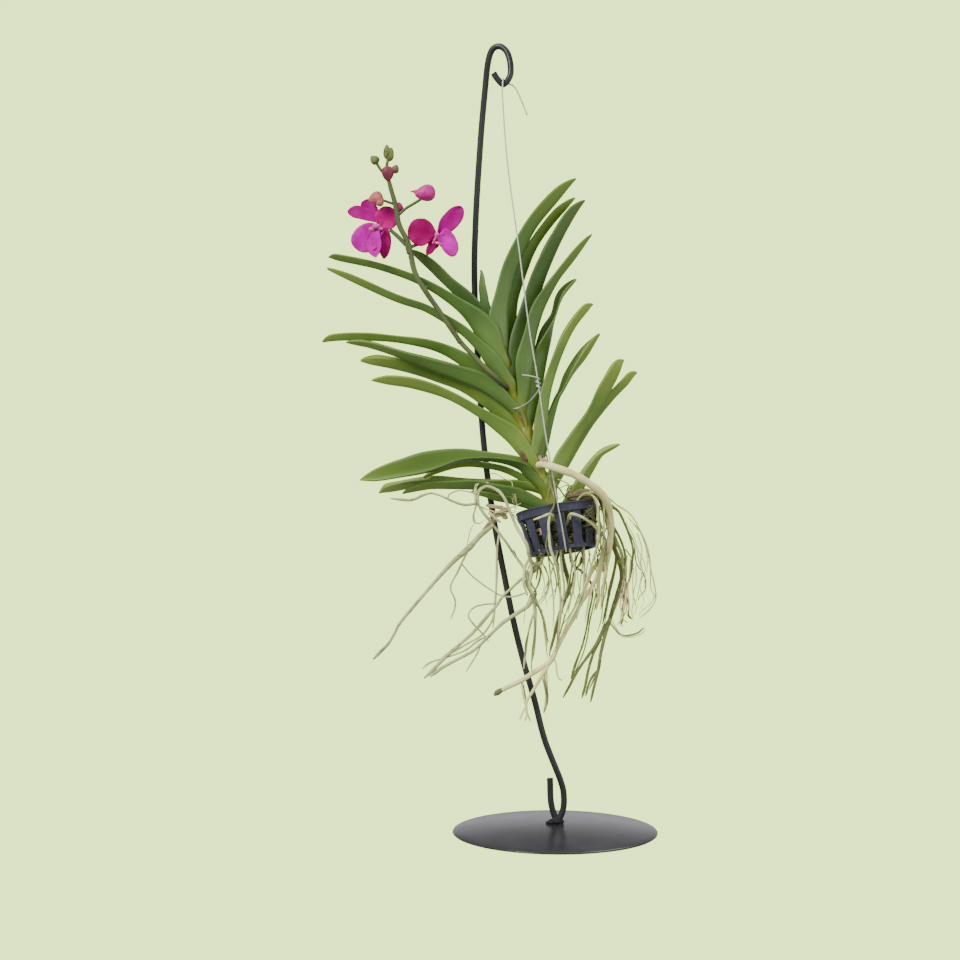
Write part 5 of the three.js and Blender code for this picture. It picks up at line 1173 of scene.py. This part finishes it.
HUSK_TONES = ((0.3, 0.22, 0.12, 1), (0.52, 0.41, 0.25, 1), (0.12, 0.07, 0.045, 1))
HUSK_HEAPS = [
    ((10.6, -16, 190), (3.4, 1.2, 4.6), 8, 2.3),
    ((-5, -15, 182), (5, 2, 5), 8, 2.1),
    ((-3, -12, 186), (9, 2, 6), 12, 2.2),
    ((18, -10, 214), (8, 4, 2.4), 10, 1.7),
]
HUSK_SCRAPS = [
    ((-34.6, -8, 202.4), (5.2, 0.4, 2.1), (0.3, -0.32, 0)),
    ((-32, -7.4, 200.6), (2.2, 0.4, 1.6), (0.2, 0.7, 0)),
    ((-37, -6.6, 206.6), (7.4, 0.4, 1.3), (-0.2, 0.16, 0)),
    ((-31.6, -7, 205.2), (3.2, 0.4, 1.1), (0.2, -0.14, 0)),
    ((-42.4, -7, 194.6), (6.4, 0.4, 1.9), (0.2, -0.86, 0)),
    ((-39.6, -6.2, 197.4), (3.8, 0.4, 1.8), (0, -0.5, 0)),
    ((-9.2, -9, 236.4), (2.8, 0.5, 1.3), (0, 1.1, 0)),
    ((-6.6, -8, 235.6), (2.6, 0.4, 0.9), (0, 1.25, 0)),
]


def husk_chips(heaps):
    """Flat angular crumbs scattered in each heap, as lumps in millimetres."""
    dice = random.Random(11)
    chips = []
    for centre, reach, count, size in heaps:
        for _ in range(count):
            at = tuple(Vector(centre) + Vector([dice.uniform(-1, 1) * way for way in reach]))
            length = size * dice.uniform(0.7, 1.5)
            turn = tuple(dice.uniform(-0.9, 0.9) for _ in range(3))
            chips.append((at, (length, 0.3 * length, length * dice.uniform(0.3, 0.5)), turn))
    return chips


husk_skin = clouded_material("husk_skin", HUSK_TONES, (160, 420), start=0.54, depth=0.7, Roughness=0.85,
                             Specular_IOR_Level=0.15)
place(lump_mesh("husk_pile", husk_chips(HUSK_HEAPS), rough=0.6, detail=2), "root_grey", [husk_skin])
place(lump_mesh("husk_scraps", HUSK_SCRAPS, rough=0.5), "root_grey", [husk_skin])

# The flower spike
# A wiry green stalk that grows from a leaf's axil, with small dry bracts at its joints and a short stalk to
# each bud and bloom. It is dull green, with brown-purple patches.

SPIKE_TONES = ((0.062, 0.086, 0.03, 1), (0.115, 0.14, 0.052, 1), (0.1, 0.06, 0.045, 1))
SPIKE = [
    [[[-29.4, -3.8, 281.6], [-32.4, -7.8, 283.8], [-36.6, -10.6, 287.4], [-44, -11, 294], [-52, -11, 302],
      [-59.5, -11, 310], [-66, -11, 319], [-74, -11, 331], [-81, -11, 341], [-88.5, -11, 354],
      [-92.6, -11, 372], [-98.4, -11, 384], [-100.6, -11, 396], [-104, -11, 408], [-105.4, -11, 414]],
     [1.5, 1.6, 1.6, 1.7, 1.8, 1.7, 1.3]],
    [[[-60, -11, 310], [-62.4, -12, 313.6], [-62, -12.4, 316.6]], [1.8, 0.5]],
    [[[-79.4, -11, 338.6], [-81.6, -12, 342.4], [-81, -12.4, 345.6]], [1.7, 0.5]],
    [[[-92, -11, 366], [-93.6, -12, 370.6], [-92.6, -12.4, 374]], [1.7, 0.5]],
    [[[-92.4, -11, 369.6], [-88, -8.6, 371.6], [-82, -6.4, 374]], [1.2, 1]],
    [[[-94.3, -11, 371.3], [-97, -10.6, 374.4], [-99.6, -10.2, 377.1], [-104.1, -9.6, 381.1]],
     [1.2, 1.5, 1.2]],
    [[[-98.6, -11, 390.4], [-94, -11, 394.4], [-89, -11, 397.4], [-84.6, -11, 400.2]], [1, 0.9]],
    [[[-105.4, -11, 414], [-108.6, -11, 417], [-111, -11, 420], [-112.8, -11, 423.4]], [0.9, 1]],
    [[[-105.6, -11, 417], [-106.2, -11, 421], [-105.4, -11, 425]], [1.1, 0.9]],
    [[[-105, -11, 413], [-103, -11, 416], [-101.4, -11, 418.4]], [0.9, 0.9]],
    [[[-101.6, -11, 397], [-106, -12, 398.4], [-109.4, -12, 399.6]], [0.9, 0.7]],
]
spike_skin = clouded_material("spike_skin", SPIKE_TONES, (50, 120), start=0.6, depth=0.3, Roughness=0.5,
                              Specular_IOR_Level=0.3)
place(tube_mesh("flower_spike_grown", SPIKE, rough=0.08), "spike_green", [spike_skin], "flower_spike")

# The buds
# Plump closed buds. Five sepals and petals lie edge to edge over each, so low seams run from its stalk to its
# blunt point. The largest has a small spur behind it.

TONES_PINK = ((0.42, 0.01, 0.19, 1), (0.64, 0.05, 0.33, 1), (0.26, 0.01, 0.1, 1))
TONES_PEACH = ((0.42, 0.085, 0.11, 1), (0.56, 0.19, 0.18, 1), (0.19, 0.03, 0.025, 1))
TONES_GREEN = ((0.085, 0.105, 0.033, 1), (0.2, 0.215, 0.06, 1), (0.05, 0.048, 0.025, 1))
TONES_PURPLE = ((0.135, 0.02, 0.042, 1), (0.22, 0.05, 0.07, 1), (0.07, 0.045, 0.03, 1))
TONES_MAUVE = ((0.11, 0.085, 0.05, 1), (0.18, 0.125, 0.075, 1), (0.06, 0.055, 0.028, 1))
TONES_CRIMSON = ((0.26, 0.002, 0.07, 1), (0.38, 0.01, 0.13, 1), (0.15, 0.002, 0.05, 1))
BUD_SEAM = 0.07
BUD_TAPER = 0.28
BUD_POINT = 0.04
BUDS = [
    ("bud_large", "bud_pink", TONES_PINK, [((-82.0, -11, 404), (6.5, 5.2, 5.2), (0, -0.12, 0))]),
    ("bud_peach", "bud_peach", TONES_PEACH, [((-112.9, -13.4, 400.1), (4.6, 4.2, 4.4), (0, -0.2, 0)),
                                             ((-110.2, -14.2, 398.4), (2.6, 3.2, 3.4), (0, 0.3, 0))]),
    ("bud_left", "spike_green", TONES_GREEN, [((-113.9, -11, 424.9), (3.0, 2.7, 2.9), (0, 0.7, 0))]),
    ("bud_top", "spike_green", TONES_GREEN, [((-105.9, -11, 429.8), (2.5, 2.3, 4.5), (0, -0.06, 0)),
                                             ((-104.1, -10.6, 428.3), (2.5, 2.3, 4.4), (0, 0.2, 0))]),
    ("bud_crimson", "petal", TONES_CRIMSON, [((-98.6, -9, 395.4), (2.8, 2.6, 3.1), (0, 0, 0))]),
    ("bud_purple", "bud_peach", TONES_PURPLE, [((-105.4, -12.2, 416), (3.9, 2.6, 4.7), (math.pi, 0, 0))]),
    ("bud_side", "bud_peach", TONES_MAUVE, [((-100.8, -11, 419.1), (2.5, 2.4, 2.8), (0, 0.4, 0))]),
]
SPUR = [(-87.6, -11, 404.8), (-89.4, -11, 405), (-91.4, -11, 405.2)]
SPUR_RADII = [1.6, 0.8, 0.25]


def bud_mesh(name, lobes):
    """A plump bud with a blunt point and five shallow seams. Each lobe points along its longest radius."""
    bm = bmesh.new()
    for centre, radii, turn in lobes:
        made = bmesh.ops.create_uvsphere(bm, u_segments=40, v_segments=24, radius=1)["verts"]
        for vertex in made:
            angle = math.atan2(vertex.co.y, vertex.co.x)
            seam = abs(math.sin(2.5 * angle)) ** 0.5
            girth = (1 - BUD_SEAM + BUD_SEAM * seam) * (1 - BUD_TAPER * vertex.co.z)
            vertex.co.x *= girth
            vertex.co.y *= girth
            vertex.co.z *= 1.0 + BUD_POINT * max(vertex.co.z, 0) ** 6
        if radii[0] > radii[2]:
            lie_down = Matrix.Rotation(math.radians(-90), 3, "Y")
            bmesh.ops.rotate(bm, verts=made, cent=(0, 0, 0), matrix=lie_down)
        settle(bm, made, radii, turn, centre)
    return finished_mesh(bm, name)


for bud_name, bud_slot, bud_tones, bud_lobes in BUDS:
    bud_skin = clouded_material(bud_name + "_skin", bud_tones, (160, 420), start=0.56, depth=0.25,
                                Roughness=0.45, Specular_IOR_Level=0.2)
    place(bud_mesh(bud_name + "_closed", bud_lobes), bud_slot, [bud_skin], bud_name)
place(tube_mesh("bud_large_spur", [(SPUR, SPUR_RADII)]), "bud_pink", [bpy.data.materials["bud_large_skin"]])

# The blooms
# Two open flowers seen from the side and half from behind. Their clawed sepals and petals have waved edges
# and a net of darker veins, magenta to crimson, and stand round a paler column and a small lip.

PETAL_THICK = 0.6
PETAL_STEPS = 26
PETAL_ACROSS = 14
PETAL_WIDEST = 0.62
PETAL_FOLD = (30, 8, 10)
PETAL_FOLD_RISE = 0.6
PETAL_CUP = 0.45
PETAL_CUP_DROP = 0.135
PETAL_WAVE = 1.5
CRIMSON, ROSE, MAGENTA, PINK = range(4)
PETAL_TONES = (
    ("petal_crimson", (0.24, 0.0, 0.07, 1), (0.34, 0.002, 0.13, 1), (0.15, 0.0, 0.045, 1)),
    ("petal_rose", (0.36, 0.0, 0.13, 1), (0.52, 0.012, 0.2, 1), (0.26, 0.0, 0.08, 1)),
    ("petal_magenta", (0.29, 0.0, 0.15, 1), (0.42, 0.0, 0.24, 1), (0.2, 0.0, 0.09, 1)),
    ("petal_pink", (0.44, 0.0, 0.3, 1), (0.66, 0.008, 0.48, 1), (0.3, 0.0, 0.18, 1)),
)
LIP_TONES = ((0.5, 0.04, 0.24, 1), (0.7, 0.14, 0.36, 1), (0.9, 0.45, 0.45, 1))
FACE_ON = (0, -1, 0)
BLOOMS = [
    ("bloom_left", [
        ([(-111, -10.8, 386.6), (-117, -11, 389.6), (-124.4, -10.4, 391.8), (-130.6, -9, 393.2)],
         (-0.2, -1, 0.4), (2.4, 4.2, 4.4, 1.6), MAGENTA),
        ([(-111.4, -9.4, 387.4), (-115.4, -8, 392), (-118.4, -7, 396.4), (-119, -6.4, 400.6)],
         (0.2, -1, 0), (2.2, 4.4, 4.6, 2), MAGENTA),
        ([(-109.6, -10.6, 382), (-107.6, -10, 386), (-106.2, -9.6, 390), (-105.4, -9.4, 395.6)],
         (0.2, -1, 0), (4, 7.4, 7, 4.6), ROSE),
        ([(-109.6, -12, 381.6), (-115.4, -13.4, 378.4), (-120, -14.2, 373.2), (-123, -13.8, 367)],
         FACE_ON, (3, 7.6, 8.8, 5.8), PINK),
        ([(-108.4, -11.4, 382), (-107.6, -11.8, 376), (-107.6, -12, 370), (-108, -12, 362.6)],
         (0.3, -1, 0), (2.6, 4.2, 3.8, 0.8), CRIMSON),
        ([(-112.6, -13.8, 381.6), (-114, -15, 376), (-114, -15.4, 370), (-113, -15, 363)],
         (-0.1, -1, 0), (2.4, 4.4, 4.8, 0.9), PINK),
    ], [
        ((-112.6, -15.4, 382.4), (2.6, 1.9, 1.6), (0.4, 0, 0.3)),
        ((-115.4, -15, 380.8), (2.0, 1.4, 1.4), (0, 0, 0)),
        ((-110.2, -14.8, 381.2), (2.1, 1.5, 1.3), (0, 0.3, 0)),
    ]),
    ("bloom_right", [
        ([(-75.4, -10, 377.6), (-80.6, -9.8, 378.8), (-86.4, -9.6, 379.6), (-93, -9.4, 379.6)],
         FACE_ON, (2.4, 7.8, 8.6, 4.4), CRIMSON),
        ([(-73, -10, 378.4), (-69, -9.8, 383.2), (-64.2, -9.6, 389), (-58.8, -9.4, 395.2)],
         FACE_ON, (2.2, 5.2, 5.6, 3), MAGENTA),
        ([(-72.6, -11, 378.8), (-69.6, -11.4, 376), (-66.6, -12, 371), (-63.8, -12, 364.2)],
         FACE_ON, (3.2, 5.4, 5.2, 3), PINK),
        ([(-74, -10, 376.4), (-76.4, -9.6, 373), (-78.6, -9.4, 369.4), (-81, -9, 365)],
         FACE_ON, (2.4, 3.8, 2.4, 0.6), CRIMSON),
        ([(-76, -8.8, 378), (-79, -6, 380), (-82, -3.8, 381.6), (-85, -2.4, 382.6)],
         (0, -1, 0.3), (1.6, 3.4, 3.8, 2), CRIMSON),
    ], [
        ((-74.6, -12.6, 377.6), (1.5, 1.6, 1.5), (0.4, 0, 0)),
        ((-76, -12.8, 374.6), (0.8, 1.0, 3.2), (0, 0.5, 0.1)),
        ((-74.2, -12.8, 372.2), (3.0, 0.9, 0.7), (0, 0.3, 0)),
    ]),
]


def add_petal(bm, spine, face, widths, tone, seed):
    """One clawed petal: a waved sheet on its spine, wide past the middle and round at its end."""
    grid = bmesh.ops.create_grid(bm, x_segments=PETAL_STEPS, y_segments=PETAL_ACROSS, size=0.5,
                                 calc_uvs=True)["verts"]
    rows = [(*point, width) for point, width in zip(spine, widths)]
    for vertex in grid:
        along, across = 1 - (0.5 - vertex.co.x) ** 1.4, vertex.co.y * 2
        tangent, up = frame_at(rows, along, face)
        side = tangent.cross(up)
        end = max(along - PETAL_WIDEST, 0) / (1 - PETAL_WIDEST)
        width = smooth_point(rows, min(along, PETAL_WIDEST)).w
        blunt = 1 if widths[-1] > 1 else 1.6
        reach = width * math.sqrt(max(1 - end ** 2, 0.0004)) ** blunt
        fold = math.radians(mix(PETAL_FOLD, along))
        wave = noise.noise(Vector((along * 3.2, across * 1.6, seed))) * abs(across) ** 1.5 * PETAL_WAVE
        cup = PETAL_CUP * across * across - PETAL_CUP_DROP
        point = smooth_point(rows, along).xyz + side * across * reach * math.cos(fold)
        point += up * (abs(across) * reach * math.sin(fold) * PETAL_FOLD_RISE + cup + wave)
        vertex.co = point * MM
    for petal_face in {petal_face for vertex in grid for petal_face in vertex.link_faces}:
        petal_face.material_index = tone


def petal_group():
    """Petal tissue: a net of veins over a flush that is paler at the claw."""
    group, inputs, where = open_group("petal_tissue", ("Flush", "Pale", "Vein"))
    axes = add_node(group, "ShaderNodeSeparateXYZ", {"Vector": where["UV"]}).outputs
    cloud = clouds(group, where["Object"], {"Scale": 110, "Detail": 3})
    base = blended(group, ranged(group, cloud, 0.38, 0.66), inputs["Flush"], inputs["Pale"])
    net = add_node(group, "ShaderNodeTexVoronoi", {"Vector": where["Object"], "Scale": 620},
                   feature="DISTANCE_TO_EDGE").outputs[0]
    veined = blended(group, ranged(group, net, 0.0, 0.1, 0.3, 0.0), base, inputs["Vein"])
    claw = ranged(group, axes["X"], 0.0, 0.3, 0.6, 0.0)
    return close_group(group, {
        "Base Color": blended(group, claw, veined, inputs["Pale"]),
        "Normal": relief(group, net, 0.3, 0.2 * MM),
    })


PETAL_TISSUE = petal_group()
petal_skins = []
for skin_name, flush, pale, vein in PETAL_TONES:
    petal_skins.append(dressed(skin_name, PETAL_TISSUE, {"Flush": flush, "Pale": pale, "Vein": vein},
                               Roughness=0.6, Specular_IOR_Level=0.04))
lip_skin = clouded_material("lip_skin", LIP_TONES, (200, 420), start=0.56, depth=0.2, Roughness=0.5,
                            Specular_IOR_Level=0.1)

for bloom_name, bloom_petals, bloom_lip in BLOOMS:
    bm = bmesh.new()
    bm.loops.layers.uv.new("along_across")
    for number, petal in enumerate(bloom_petals):
        add_petal(bm, *petal, number * 3.7 + len(bloom_name))
    petals = finished_mesh(bm, bloom_name + "_petals")
    add_wall(place(petals, "petal", petal_skins, bloom_name), PETAL_THICK)
    place(lump_mesh(bloom_name + "_column", bloom_lip, rough=0.35), "petal_pale", [lip_skin],
          bloom_name + "_lip")
